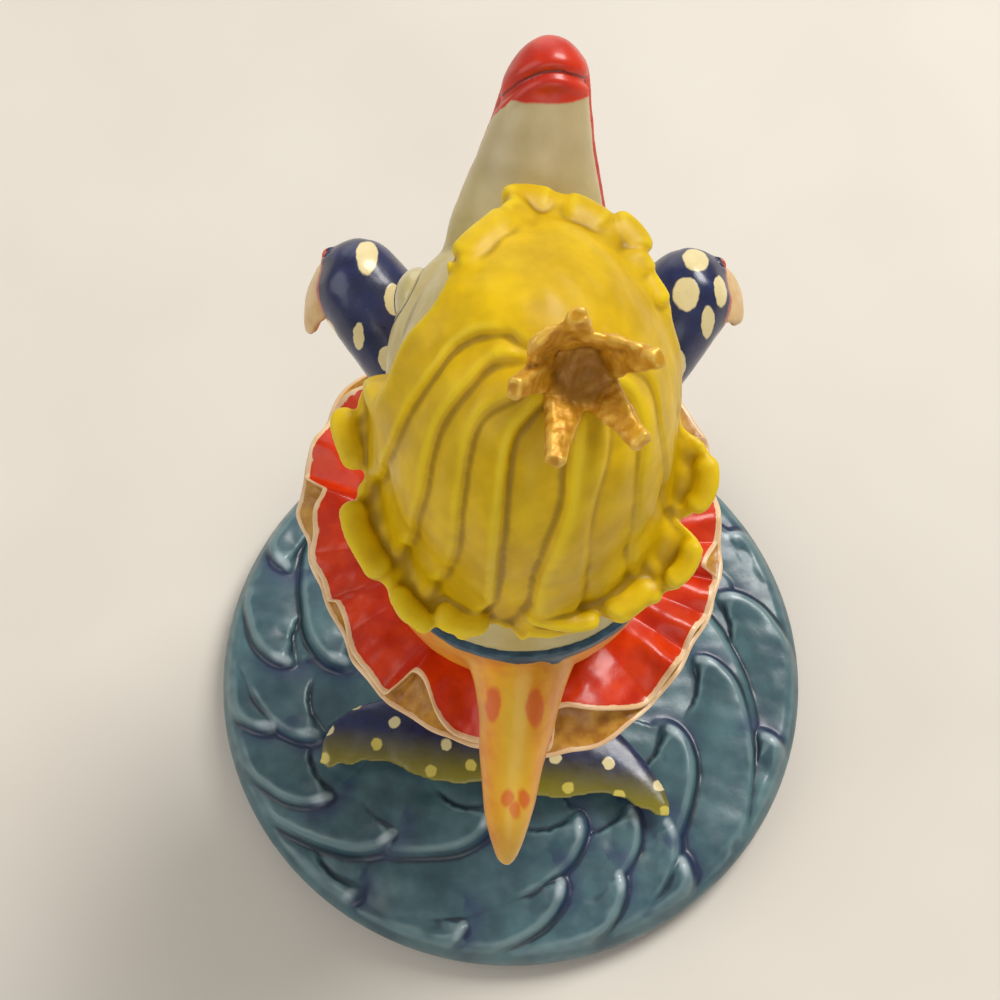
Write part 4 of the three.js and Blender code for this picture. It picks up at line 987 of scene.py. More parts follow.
wig = {
    "columns": 540,
    "rows": 170,
    "half": np.array([17.8, 21.8, 24.2]),
    "thickness": 2.6,
    # curls of the fringe, from the left temple round to the right one: places along each,
    # and its half thickness
    "fringe": [
        ([(7.8, 0.8, 154.2), (6.6, 0.3, 154.6)], 1.25),
        ([(6.3, -0.7, 155.1), (5, -2.2, 155), (3.6, -3.9, 154.6), (2.2, -5.4, 154.1), (1, -7.2, 153.1)], 1.7),
        ([(1.3, -10.4, 150.2), (-0.7, -11.2, 149.4), (-2.4, -11.2, 149.1), (-4.2, -10.8, 149.0)], 2.1),
        ([(-4.7, -10.4, 149.0), (-6.8, -9.9, 148.5), (-8.6, -9.0, 148.0), (-10.3, -7.9, 147.8)], 2.5),
        ([(-10.6, -9.8, 147.4), (-12.0, -9.1, 147.1), (-13.2, -7.9, 146.6), (-13.8, -6.2, 146.4)], 1.9),
        ([(-12.6, -6.0, 147.2), (-14.1, -4.2, 146.4), (-14.9, -3.2, 146.0)], 1.7),
        ([(-14.1, -3.2, 146.3), (-15.5, -1.3, 145.6), (-16.2, 0.2, 145.2)], 1.6),
    ],
    "slab": (1.4, 0.85, 0.42, 0.5),  # a fringe curl's width, thickness, shift back and bluntness
    # flaps at the hem, from the left ear round the back to the right one: places along each,
    # half width, half thickness
    "flaps": [
        ([(19.9, 5.6, 130.4), (20.3, 7.8, 130.0), (19.5, 10.3, 129.3), (18.4, 12.8, 128.5)], 1.7, 0.95),
        ([(19.4, 16.6, 128.4), (18.8, 19.5, 126.8), (17.3, 22.2, 125.5), (15.4, 24.7, 124.6)], 1.7, 0.95),
        ([(14.4, 26.0, 123.9), (12.7, 28.1, 123.2), (11.0, 29.6, 122.5), (9.7, 30.1, 121.9)], 1.4, 0.9),
        ([(9.4, 28.0, 122.4), (7.4, 29.0, 122.3), (5.2, 29.3, 122.1), (3.2, 28.6, 121.8)], 2.1, 1.15),
        ([(-1.2, 28.8, 123.2), (-4.0, 29.4, 122.5), (-7.0, 29.5, 121.7), (-9.9, 28.9, 121.4)], 1.25, 0.9),
        ([(-10.4, 27.8, 122.0), (-12.6, 27.1, 122.1), (-14.6, 25.9, 122.4), (-16.0, 24.6, 122.8)], 1.7, 0.9),
        ([(-17.6, 25.2, 123.8), (-19.3, 24.2, 124.4), (-20.4, 22.6, 125.2), (-20.8, 20.8, 126.3)], 1.4, 0.9),
        ([(-20.2, 17.4, 127.4), (-21.7, 16.2, 128.0), (-22.4, 14.3, 129.2), (-22.1, 11.6, 130.2)], 1.5, 0.9),
    ],
    "hidden": -3.3,  # how deep the skin dives where there is no hair
    # hem: turn from the front over the left side, reach down in degrees, how far the end stands out,
    # thickness of its lip
    "hem": [
        (-180, 126, 2.0, 1.5), (-178.6, 121.5, 2.1, 1.7), (-169, 120.5, 2.5, 2.0), (-160, 120, 3.0, 2.1),
        (-157.5, 119.5, 3.2, 2.1), (-155.5, 119, 2.5, 1.9), (-149, 118.5, 4.0, 2.1),
        (-138, 117, 4.5, 2.1), (-136, 116.4, 4.0, 2.0), (-132.5, 115, 5.2, 2.1), (-122, 109, 5.6, 2.2),
        (-119, 107.5, 2.4, 1.6), (-117, 105.5, 3.6, 1.9), (-106.5, 100, 5.2, 2.2), (-100, 96, 3.8, 2.0),
        (-95.5, 93, 1.3, 1.1), (-93, 91, 0.4, 0.7), (-60, 84, 0.3, 0.6), (0, 86, 0.3, 0.6),
        (60, 86, 0.3, 0.6), (78, 90, 0.3, 0.6), (80, 92, 0.3, 0.6), (83, 93, 0.5, 0.8),
        (88, 95, 2.2, 1.6), (95, 97.5, 3.7, 2.2), (101, 99.5, 3.1, 1.9), (106.5, 101, 2.1, 1.6),
        (108.5, 101.5, 1.3, 1.3), (110.5, 102.5, 3.0, 1.8), (116, 105.5, 4.5, 2.1),
        (123, 108.5, 4.9, 2.1), (130, 111.5, 5.0, 2.1), (134, 113.2, 4.9, 2.1), (136, 114, 4.5, 2.0),
        (138.5, 115, 4.9, 2.1), (143, 116, 5.2, 2.2), (149, 117.5, 5.2, 2.2), (152.5, 118.5, 3.9, 2.0),
        (154.5, 119.2, 2.9, 2.1), (160, 120, 3.4, 2.7), (166, 121, 2.9, 2.5), (169, 123, 1.6, 1.6),
        (173, 126, 1.9, 1.5), (180, 126, 2.0, 1.5),
    ],
    # front edge of the hair, from the left temple over the fringe to the right one: turn, down
    "hairline": [
        (79, 106), (79, 96), (81, 88), (86, 80), (92, 72), (99.5, 65.5), (99.5, 58.5), (95.5, 52.5),
        (91, 47.5), (88, 43.5), (86, 40), (82.5, 36.8), (78, 34.6), (72, 33.2), (66, 33.2), (61.5, 32.8),
        (58, 32.4), (54.5, 32.5), (48, 35), (40, 36.8), (32, 38.6), (24, 40), (17, 41), (13.5, 43),
        (12.5, 48), (11.5, 53), (8, 57), (0, 58.5), (-8, 58.5), (-12.5, 57.5), (-15, 56.6), (-18, 58.4),
        (-25, 60.2), (-32, 60.6), (-36.5, 59.6), (-39.5, 61.5), (-44, 64), (-49, 65), (-52.5, 64),
        (-54.5, 62.6), (-57, 64.2), (-60.5, 65.4), (-63, 65.2), (-65.5, 67.6), (-69, 69.6), (-72.5, 69.8),
        (-76, 74), (-80, 81), (-83.5, 90), (-85.5, 106),
    ],
    # how thick its roll is: turn, millimetres
    "roll": [
        (-180, 0), (-92, 0), (-80, 0.6), (-68, 1.4), (-45, 1.8), (-20, 2.0), (8, 1.8), (20, 1.2),
        (52, 1.3), (62, 0.7), (88, 0.8), (102, 0.7), (180, 0),
    ],
    "crown": (231, 27),  # where the locks spring from: turn, down
    "plainSide": (310, 50),  # no lock runs this way
    # creases between the locks, all from under the crown: places (turn, down), then the height
    # on the side nearer to the dolphin's left and the height on the other side
    "creases": [
        ([(200, 16), (150, 11.5), (122, 17), (114, 26), (117, 37), (118, 51), (119, 68), (114, 96)], 1, -0.1),
        ([(205, 21), (176, 17), (147, 21), (139, 31), (135, 44), (137, 56), (139, 71), (135, 104)], 1.1, 0.0),
        ([(210, 26), (187, 24), (166, 29), (154, 35), (152, 44), (154, 58), (155, 82), (150, 107)], 1.0, 0.1),
        (
            [(213, 29), (192, 29), (180, 33), (173, 38), (171, 47), (171, 65), (170, 93), (169, 110)],
            1.2,
            -0.35,
        ),
        ([(215, 32), (205, 38), (198, 48), (195, 58), (189, 71), (184, 89), (182, 111)], -0.35, 1.1),
        ([(225, 35), (223, 45), (218, 51), (208, 62), (203, 77), (202, 109)], 0.9, 0.2),
        ([(236, 36), (238, 44), (236, 51), (231, 60), (224, 73), (220, 104)], 0.3, 0.95),
        ([(245, 36), (251, 46), (250, 53), (243, 63), (240, 80), (239, 97)], 0.35, 0.9),
    ],
    "gloss": {"rough": (0.38, 0.52), "depth": 0.03, "coat": 0.04, "coatRough": 0.25, "specular": 0.25},
    "colors": {
        "yellow": ((228, 188, 4), (210, 168, 0)),
        # painted shade in hollows, then a painted highlight on edges
        "hollow": (140, 104, 0),
        "edge": (242, 216, 36),
        "specks": (130, 98, 10),
    },
}


def hairDirection(turn, down):
    t, d = np.radians(turn), np.radians(down)
    return np.stack([np.sin(d) * np.sin(t), -np.sin(d) * np.cos(t), np.cos(d)], -1)


# Places over the skull: turn and down in degrees, out in millimetres
def onHair(turn, down, out, spec):
    t = np.radians(turn)
    level = np.radians(np.minimum(down, 90))
    drop = np.radians(np.maximum(0, down - 90)) * spec["half"][2] * 0.95
    reach, rise = np.sin(level), np.cos(level)
    normal = unit(np.stack([np.sin(t) * reach, -np.cos(t) * reach, rise], -1))
    wide, deep, high = spec["half"]
    form = np.stack([wide * reach * np.sin(t), -deep * reach * np.cos(t), high * rise - drop], -1)
    return form + normal * np.asarray(out)[..., None] + skull["centre"], normal


# Rises like a quarter circle from 0 to 1 over the width
def roundedStep(away, width=1.2):
    return np.sqrt(1 - (1 - np.clip(away / width, 0, 1)) ** 2)


# Height of the locks, which all spring from under the crown
def lockRelief(turn, down, spec):
    pole = hairDirection(*spec["crown"])
    cut = hairDirection(*spec["plainSide"])
    east = unit(np.cross(pole, unit(cut - pole * (cut @ pole))))
    north = np.cross(east, pole)

    def fromCrown(t, d):
        s = hairDirection(t, d)
        span = np.degrees(np.arccos(np.clip(s @ pole, -1, 1)))
        return span, np.mod(np.degrees(np.arctan2(s @ east, s @ north)), 360)

    span, angle = fromCrown(turn, down)
    lines = []
    for way, _, _ in spec["creases"]:
        rows = spline(way, 60)
        s, a = fromCrown(rows[:, 0], rows[:, 1])
        s = np.maximum.accumulate(s)
        lines.append(np.interp(span, s, a))
    left = [row[1] for row in spec["creases"]]
    right = [row[2] for row in spec["creases"]]
    if lines[0].mean() > lines[-1].mean():
        lines, angle = [360 - a for a in lines], 360 - angle
    pace = np.radians(1) * 20.5 * np.sin(np.radians(np.clip(span, 3, 110)))
    before, after = (lines[0] - angle) * pace, (angle - lines[-1]) * pace
    relief = np.where(before > 0, left[0] * roundedStep(before) * np.exp(-before / 9.0), 0)
    relief = np.where(after > 0, right[-1] * roundedStep(after) * np.exp(-after / 7.0), relief)
    for k in range(len(lines) - 1):
        here = (angle >= lines[k]) & (angle < lines[k + 1])
        a = np.maximum((angle - lines[k]) * pace, 0)
        b = np.maximum((lines[k + 1] - angle) * pace, 0)
        u = a / np.maximum(a + b, 1e-6)
        level = mixed(right[k], left[k + 1], u**1.2) + 0.35 * np.sin(np.pi * u)
        # the high side of a step is rounded down to the low one
        if right[k] > left[k]:
            level = mixed(left[k] - 0.1, level, roundedStep(a))
        if left[k + 1] > right[k + 1]:
            level = mixed(right[k + 1] - 0.1, level, roundedStep(b))
        relief = np.where(here, level, relief)
    return relief * smooth(span, 5, 14)


# Millimetres behind the hairline, below 0 before it
def edgeDistance(turn, down, spec):
    line = np.array(spec["hairline"], float)
    wide = 20.0 * np.radians(1)
    scale = np.sin(np.radians(np.clip(down, 25, 90)))
    near = np.full(turn.shape, 1e9)
    side = np.ones_like(near)
    for k in range(len(line) - 1):
        (ta, da), (tb, db) = line[k], line[k + 1]
        sa, sb = (math.sin(math.radians(min(max(d, 25), 90))) for d in (da, db))
        px, py = (turn - ta) * (scale + sa) / 2 * wide, (down - da) * wide
        dx, dy = (tb - ta) * (sa + sb) / 2 * wide, (db - da) * wide
        t = np.clip((px * dx + py * dy) / (dx * dx + dy * dy), 0, 1)
        gx, gy = px - t * dx, py - t * dy
        away = np.hypot(gx, gy)
        closer = away < near
        near = np.where(closer, away, near)
    # inside where the point lies above the line, counted along its turn
    inside = np.ones_like(near, bool)
    for k in range(len(line) - 1):
        (ta, da), (tb, db) = line[k], line[k + 1]
        low, high = min(ta, tb), max(ta, tb)
        if high > low:
            crossed = (turn >= low) & (turn < high)
            at = da + (db - da) * (turn - ta) / (tb - ta)
            inside ^= crossed & (down > at)
    return np.where(inside, near, -near)


# Short rounded roll through its places, its width pointing away from the head's axis
def curlOf(places, wide, thin, back=0.0, blunt=1.0):
    path = spline(places, 28)
    path = path - back * unit((path.mean(0) - skull["centre"]) * (1, 1, 0))
    run = np.concatenate([[0], np.cumsum(np.linalg.norm(np.diff(path, axis=0), axis=1))])
    swell = roundedStep(np.minimum(run, run[-1] - run) + 0.03, wide * blunt)
    outward = (path.mean(0) - skull["centre"]) * (1, 1, 0)
    return limb(np.column_stack([path, wide * swell, thin * swell]), 24, 40, outward)


def makeWig(spec):
    columns, rows = spec["columns"], spec["rows"]
    turn = np.linspace(-180, 180, columns, endpoint=False)
    reach, stand, lip = table(spec["hem"], turn)
    curl = np.maximum((stand - 0.75 * lip) / 1.5, 0.12)
    bend = np.radians(mixed(60, 122, smooth(stand, 1.2, 4.5)))
    start = reach - np.degrees(curl * 0.9 / 21)
    part = np.linspace(0, 1, rows) ** 0.95
    down = start[None] * part[:, None]
    turns = np.repeat(turn[None], rows, 0)
    relief = lockRelief(turns, down, spec)
    away = edgeDistance(turns, down, spec)
    rollHeight = table(spec["roll"], turn)[0][None]
    roll = rollHeight * np.exp(-(((away - 1.7) / 1.7) ** 2))
    roll -= 0.15 * rollHeight * np.exp(-(((away - 4.9) / 1.5) ** 2))
    toEnd = (start[None] - down) * np.radians(1) * 21
    waist = -0.5 * np.exp(-(((toEnd - 4.2) / 2.2) ** 2)) * smooth(stand, 1.4, 3)[None]
    rough = onHair(turns, down, np.zeros_like(down), spec)[0]
    soft = 0.12 * wobble(rough.reshape(-1, 3), 7.0, 31).reshape(down.shape)
    top = relief + roll + waist + soft + 0.85 * smooth(down, 92, 108)
    edge = np.sqrt(1 - (1 - np.clip(away, 0, 1.4) / 1.4) ** 2)
    outer, normal = onHair(turns, down, spec["hidden"] + (top - spec["hidden"]) * edge, spec)
    # past the start of its curl the hair bends outward and up round a small circle
    endOut = normal[-1]
    level = np.zeros(columns)
    tangent = onHair(turn, start + 1, level, spec)[0] - onHair(turn, start - 1, level, spec)[0]
    tangent = unit(tangent - endOut * np.sum(tangent * endOut, 1, keepdims=True))
    hub = outer[-1] + endOut * curl[:, None]
    rings = list(outer)
    for share in np.linspace(0, 1, 13)[1:]:
        angle = (bend * share)[:, None]
        rings.append(hub + curl[:, None] * (-endOut * np.cos(angle) + tangent * np.sin(angle)))
    lipWay = -endOut * np.cos(bend)[:, None] + tangent * np.sin(bend)[:, None]
    forward = endOut * np.sin(bend)[:, None] + tangent * np.cos(bend)[:, None]
    tipMiddle = hub + lipWay * (curl + lip / 2)[:, None]
    for angle in np.linspace(-np.pi / 2, np.pi / 2, 9)[1:-1]:
        rings.append(tipMiddle + (lip / 2)[:, None] * (lipWay * math.sin(angle) + forward * math.cos(angle)))
    for share in np.linspace(1, 0, 12):
        angle = (bend * share)[:, None]
        rings.append(hub + (curl + lip)[:, None] * (-endOut * np.cos(angle) + tangent * np.sin(angle)))
    for share in np.linspace(0.94, 0.05, 26):
        rings.append(onHair(turn, start * share, np.full(columns, -spec["thickness"] - 2.4), spec)[0])
    hair = loft(rings)
    parts = [(relaxed(*hair, 3, 0.5), hair[1])]
    wide, thin, back, blunt = spec["slab"]
    parts += [curlOf(places, wide * half, thin * half, back * half, blunt) for places, half in spec["fringe"]]
    parts += [curlOf(*flap) for flap in spec["flaps"]]
    points, faces = fused(parts, 0.3, 3)
    paint, hue = Paint("hair_paint"), spec["colors"]
    color = paint.mottled(hue["yellow"], 7.0, high=0.72)
    # painted shade in the hollows and a painted highlight on the edges
    color = paint.patchesShadeAndHighlight(color, hue["hollow"], hue["edge"], 0.75)
    color = paint.blend(color, hue["specks"], paint.ramp(paint.noise(0.7, 2.0), 0.72, 0.78), 0.2)
    material = paint.finish(color, paint.noise(1.1, 4.0), **spec["gloss"])
    addPiece("flip_wig", points, faces, ["wig"], material)


makeWig(wig)
report("wig")


# Crown

crown = {
    "turn": 222.0,
    "down": 26.0,
    "tips": 5,
    "twist": -18.0,
    "leanBack": 46.0,
    "leanSide": 12.0,
    "shift": np.array([0.5, -0.9, -0.6]),
    "longer": {3: 0.8},  # millimetres that a point reaches beyond the others
    # walls between neighbouring points: place from one point to the next, distance from the middle, height
    "walls": [
        [(2.0, 7.6, 7.8), (2.25, 6.7, 6.7), (2.5, 5.8, 5.9), (2.75, 5.4, 5.4), (2.95, 5.6, 5.4)],
        [(3.0, 7.9, 7.5), (3.25, 7.9, 7.2), (3.5, 8.0, 6.9), (3.7, 6.9, 5.8), (3.95, 5.2, 4.2)],
    ],
    # a point of the crown: distance from the middle, height, half width, half thickness
    "point": [
        (2.6, -0.8, 2.7, 0.9), (3.1, 1.2, 2.5, 0.95), (4.1, 3.0, 2.1, 1.0), (5.5, 4.9, 1.65, 0.95),
        (6.9, 6.8, 1.3, 0.9), (7.9, 8.1, 1.15, 0.85), (8.05, 8.35, 0.9, 0.6),
    ],
    # outline of the cup from its foot over its rim to its floor: height, distance from the middle
    "cup": [
        (-2.4, 2.9), (-1.2, 3.2), (0.4, 3.4), (1.4, 3.6), (2.3, 3.7), (2.7, 3.4), (2.6, 2.8), (2.3, 2.1),
        (2.15, 1.4), (2.1, 0.8), (2.1, 0.25),
    ],
    "gloss": {
        "rough": (0.36, 0.55), "roughSize": 1.5, "depth": 0.05, "metallic": 0.3, "coat": 0.05,
        "coatRough": 0.3,
    },
    "colors": {
        "gold": ((226, 166, 34), (198, 134, 16)),
        # painted shade in hollows, then a painted highlight on edges
        "hollow": (124, 78, 6),
        "edge": (248, 210, 100),
        # painted shade inside the cup
        "cup": (142, 92, 8),
    },
}


# Thin wall that leans outward from the cup to a line of places
def crownWall(line, spec):
    rings = []
    c, s = roundOf(28, 0.6)
    for place, distance, height in spline(line, 30):
        a = 2 * math.pi * place / spec["tips"] + math.radians(90 + spec["twist"])
        out = np.array([math.cos(a), math.sin(a), 0])
        foot, top = out * 3.0 + np.array([0, 0, 0.6]), out * distance + np.array([0, 0, height])
        half = (top - foot) / 2
        thick = unit(np.cross(half, (-out[1], out[0], 0))) * 0.75
        rings.append((foot + top) / 2 + c[:, None] * half + s[:, None] * thick)
    return loft(rings)


def makeCrown(spec):
    seat, _ = onHair(np.array([spec["turn"]]), np.array([spec["down"]]), np.array([1.1]), wig)
    b, s = math.radians(spec["leanBack"]), math.radians(spec["leanSide"])
    tipBack = np.array([[1, 0, 0], [0, math.cos(-b), -math.sin(-b)], [0, math.sin(-b), math.cos(-b)]])
    tipSide = np.array([[math.cos(-s), 0, math.sin(-s)], [0, 1, 0], [-math.sin(-s), 0, math.cos(-s)]])
    turned = tipSide @ tipBack
    rows = spline(spec["cup"], 40)
    turn = np.linspace(0, 2 * np.pi, 48, endpoint=False)
    wide, high = rows[:, 1, None], np.repeat(rows[:, 0, None], 48, 1)
    rings = np.stack([wide * np.cos(turn), wide * np.sin(turn), high], -1)
    parts = [loft(rings)]
    for k in range(spec["tips"]):
        a = 2 * math.pi * k / spec["tips"] + math.radians(90 + spec["twist"])
        out = np.array([math.cos(a), math.sin(a), 0])
        side = (-out[1], out[0], 0)
        more = spec["longer"].get(k, 0)
        stations = []
        for r, z, w, d in spec["point"]:
            place = out * (r + more * r / 8) + np.array([0, 0, z - more * 0.3 * r / 8])
            stations.append((*place, w, d))
        parts.append(limb(stations, 32, 34, side, power=0.6))
    parts += [crownWall(line, spec) for line in spec["walls"]]
    points, faces = fused(parts, 0.22, 3)
    rough = 0.12 * wobble(points, 3.2, 41) + 0.035 * wobble(points, 1.1, 42)
    points = points + normalsOf(points, faces) * rough[:, None]
    away = np.hypot(points[:, 0], points[:, 1])
    # painted shade over the inside of the cup, given to the paint as the cup value
    inner = (1 - smooth(away, 2.4, 4.0)) * smooth(points[:, 2], -1.6, -1.0)
    hollow = 1 - smooth(points[:, 2] - 1.1 * (away - 3.4), -0.2, 2.6)
    inner = np.maximum(inner, 0.7 * hollow * smooth(points[:, 2], 0.6, 1.6) * (1 - smooth(away, 4.2, 6.2)))
    points = points @ turned.T + seat[0] + spec["shift"]
    paint, hue = Paint("gold_paint"), spec["colors"]
    color = paint.mottled(hue["gold"], 1.6, 4.0)
    # painted shade in the hollows and a painted highlight on the edges
    color = paint.patchesShadeAndHighlight(color, hue["hollow"], hue["edge"], 0.8)
    # painted shade inside the cup
    color = paint.blend(color, hue["cup"], paint.value("cup"), 0.75)
    material = paint.finish(color, paint.noise(0.5, 5.0), **spec["gloss"])
    addPiece("gold_crown", points, faces, ["crown"], material, {"cup": inner})


makeCrown(crown)
report("crown")


# Ruffle

ruffle = {
    "columns": 900,
    "inner": 16.4,  # radius at the waist
    "height": 75.0,
    "thick": 1.15,
    "frontRise": 5.0,  # how much higher the front edge lies
    "middle": np.array([0.2, 3.2]),
    # how far the edge reaches: turn, millimetres
    "outer": [
        (-60, 33.6), (-47, 34.6), (-33, 33.4), (-14, 31.8), (-3, 29.2), (11, 27.4), (24, 26.4), (36, 27),
        (53, 27.4), (68, 27.6), (79, 28), (92, 28.6), (102, 29.6), (115, 30), (132, 29), (153, 28.6),
        (166, 29.4), (180, 30.0), (200, 31.0), (213, 33.2), (225, 33.6), (240, 32.6), (270, 32.0),
        (300, 33.6),
    ],
    # each open fold: turn of its wide end, how far it runs on, how high it lifts,
    # how far its upper edge draws in
    "folds": [
        (-19, 19, 4.6, 3.4), (16, 14, 1.6, 1.0), (52, 22, 4.4, 4.4), (103, 30, 4.4, 4.8), (174, 12, 3.0, 2.2),
        (212, 16, 3.6, 3.0), (243, 22, 4.0, 3.6), (279, 20, 3.8, 3.4), (309, 14, 4.2, 3.4),
    ],
    # soft waves between them: turn, half width, height
    "waves": [
        (8, 6, 1.8), (35, 7, 2.0), (88, 6, 1.8), (142, 6, 3.2), (155, 5, 3.0), (167, 5, 1.8), (190, 6, 2.6),
        (202, 5, 2.2), (232, 6, 2.4), (268, 6, 2.2), (300, 5, 2.0), (331, 5, 2.0),
    ],
    "gloss": {"rough": (0.28, 0.42), "depth": 0.05, "coat": 0.18, "coatRough": 0.16, "specular": 0.35},
    "colors": {
        "red": ((226, 64, 0), (204, 42, 0)),
        # painted shade in hollows, then a painted highlight on edges
        "hollow": (118, 12, 2),
        "edge": (236, 96, 22),
        "lining": ((200, 148, 52), (160, 104, 26)),
        "hem": ((240, 210, 168), (224, 184, 136)),
    },
}


def makeRuffle(spec):
    columns = spec["columns"]
    turn = np.linspace(0, 360, columns, endpoint=False)
    lift = np.zeros(columns)
    draw = np.zeros(columns)
    for start, run, high, back in spec["folds"]:
        u = (np.mod(turn - start + 180, 360) - 180) / run
        # steep at its wide end, long and flat towards the other
        lift = np.maximum(lift, high * smooth(u, -0.22, 0.12) * (1 - smooth(u, 0.3, 1.05)))
        draw = np.maximum(draw, back * smooth(u, -0.1, 0.06) * (1 - smooth(u, 0.12, 0.98)))
    for middle, half, high in spec["waves"]:
        u = (np.mod(turn - middle + 180, 360) - 180) / half
        lift = np.maximum(lift, high * np.exp(-(u**2)))
    a = np.radians(turn)
    flutter = 0.3 * np.sin(7 * a + 1) + 0.2 * np.sin(17 * a + 2) + 0.1 * np.sin(41 * a)
    outer = table(spec["outer"], np.where(turn > 300, turn - 360, turn))[0] + 0.12 * np.sin(23 * a)
    middle = spec["middle"]

    def ring(radius, z):
        return np.stack([middle[0] + radius * np.cos(a), middle[1] + radius * np.sin(a), z], 1)

    lipRadius = outer - draw - 0.6
    rings, kinds = [], []

    # rolled edge below the last ring
    def roll(radius, count, bulge, rise, fall):
        start = rings[-1][:, 2]
        for angle in np.linspace(0.12, 1, count) * np.pi:
            z = start + rise * np.sin(angle) - fall * (1 - np.cos(angle))
            rings.append(ring(radius + bulge * np.sin(angle), z))
            kinds.append(1.0)

    hem = spec["height"] - 2.6 + 0.5 * flutter
    top = hem + spec["thick"] + lift
    for share in np.linspace(0, 1, 34):
        radius = mixed(spec["inner"], lipRadius, share)
        base = spec["height"] + 1.6 - 1.4 * share
        # the ridge of a fold is narrow near the waist and widens to the edge
        z = base + (top - spec["height"] - 0.2) * share**1.3 + 0.5 * np.sin(np.pi * share)
        rings.append(ring(radius, z))
        kinds.append(0.0)
    # wall under the lifted folds, down to the hem
    below = rings[-1][:, 2] - 1.24
    roll(lipRadius + 0.1, 9, 0.75, 0.25, 0.62)
    for share in np.linspace(0.08, 1, 14):
        inset = -0.5 * np.sin(np.pi * share) * smooth(lift, 0.5, 2)
        radius = mixed(lipRadius + 0.05, outer, share**1.5) + inset
        rings.append(ring(radius, mixed(below, np.minimum(hem + 0.5, below), share**0.8)))
        kinds.append(0.5)
    roll(outer + 0.05, 8, 0.6, 0.15, 0.5)
    floor = rings[-1][:, 2]
    for share in np.linspace(0, 1, 10)[1:]:
        rings.append(ring(mixed(outer, spec["inner"], share), mixed(floor, spec["height"] - 1.5, share)))
        kinds.append(0.5)
    rings = np.array(rings)
    rows = len(rings)
    points = rings.reshape(-1, 3)
    faces = gridFaces(rows, columns)
    for j in range(columns):
        k = (j + 1) % columns
        faces.append(((rows - 1) * columns + j, (rows - 1) * columns + k, k, j))
    away = np.hypot(points[:, 0] - middle[0], points[:, 1] - middle[1])
    points[:, 2] += 0.14 * wobble(points, 5.0, 51) * smooth(away, 18, 24)
    share = np.clip((away - spec["inner"]) / 13.0, 0, 1)
    points[:, 2] += spec["frontRise"] * smooth((middle[1] - points[:, 1]) / away, 0.15, 0.9) * share
    points = relaxed(points, faces, 2, 0.4)
    kinds = np.repeat(np.array(kinds), columns)
    edge = (kinds == 1.0).astype(float)
    under = (kinds == 0.5).astype(float)
    edges = edgesOf(faces)
    for _ in range(2):
        edge = mixed(edge, neighbourMean(edge, edges), 0.5)
        under = mixed(under, neighbourMean(under, edges), 0.5)
    paint, hue = Paint("ruffle_paint"), spec["colors"]
    color = paint.mottled(hue["red"], 4.0)
    # painted shade in the hollows and a painted highlight on the edges
    color = paint.patchesShadeAndHighlight(color, hue["hollow"], hue["edge"], 0.7)
    color = paint.blend(color, paint.mottled(hue["lining"], 2.5), paint.ramp(paint.value("under"), 0.35, 0.6))
    shake = paint.math("MULTIPLY", paint.math("SUBTRACT", paint.noise(1.6, 2.0), 0.5), 0.8)
    line = paint.ramp(paint.math("ADD", paint.value("edge"), shake), 0.24, 0.4)
    color = paint.blend(color, paint.mottled(hue["hem"], 4.0), line)
    grain = paint.math("ADD", paint.noise(1.0, 4.0), paint.math("MULTIPLY", line, 0.9))
    material = paint.finish(color, grain, **spec["gloss"])
    values = {"edge": edge, "under": under}
    addPiece("ruffle_skirt", points, faces, ["ruffle"], material, values)


makeRuffle(ruffle)
report("ruffle")


# Sleeves and flippers

arm = {
    "shift": -1.6,  # of both arms, in x
    # what each arm is off the mirrored place, in x and y
    "place": {"left": (0.9, -1.5), "right": (-0.1, 0.0)},
    "tipLift": {"left": 0.0, "right": 1.9},  # how much higher the flipper's tip lies
    "cuff": (26.4, -18.5, 113.5),
    "cuffWay": (1.0, -0.12, -0.3),
    # places out along the sleeve: x, y, z, half size
    "sleeve": [
        (9.5, -4, 101.5, 4.2), (13.6, -9.2, 105.8, 5.6), (17.6, -14.6, 110.2, 6.3), (21, -18.6, 113, 6.0),
        (23.2, -20.8, 114.3, 4.7), (24.8, -22, 115, 1.6), (25.1, -22.2, 115.2, 0.5),
    ],
    # and along the flipper: x, y, z, half width, half thickness
    "flipper": [
        (21.6, -20.2, 112.4, 3.2, 1.3), (25.0, -19.6, 111.2, 4.1, 1.35), (27.0, -18.4, 108.2, 3.8, 1.3),
        (27.9, -16.8, 105.6, 2.4, 1.0), (28.2, -16.1, 104.6, 1.0, 0.6),
    ],
    # places in the photograph's dots: x, y, z, half width, half length
    "dots": {
        "left": [
            (19.0, -21.4, 118.6, 1.4, 2.9), (15.6, -15.9, 117.5, 1.1, 2.1), (20.2, -12.0, 114.2, 0.8, 1.3),
            (16.7, -9.4, 113.2, 1.0, 1.3), (24, -15, 109, 1.4, 2.0), (17, -20, 108, 1.5, 2.0),
        ],
        "right": [
            (-23.3, -21, 118, 1.7, 2.3), (-21.9, -15.9, 118.4, 1.7, 2.1), (-26.5, -17.1, 117, 0.95, 2.0),
            (-24.9, -13.2, 115.7, 0.95, 1.8), (-21.3, -8.6, 112.3, 0.9, 1.5), (-17, -20, 108, 1.5, 2.0),
        ],
    },
    "sleeveGloss": {"rough": (0.24, 0.4), "depth": 0.04, "coat": 0.35, "coatRough": 0.15},
    "sleeveColors": {
        # painted shade in hollows, then a painted highlight on edges
        "hollow": (14, 16, 34),
        "edge": (70, 78, 120),
        "dots": (232, 214, 158),
        "cuff": (178, 62, 26),
    },
    "finGloss": {"rough": (0.3, 0.45), "depth": 0.03, "coat": 0.25, "coatRough": 0.2},
    "finColors": {
        "skin": ((226, 190, 130), (214, 168, 104)),
        # painted shade in hollows, then a painted highlight on edges
        "hollow": (158, 120, 70),
        "edge": (240, 226, 186),
    },
}


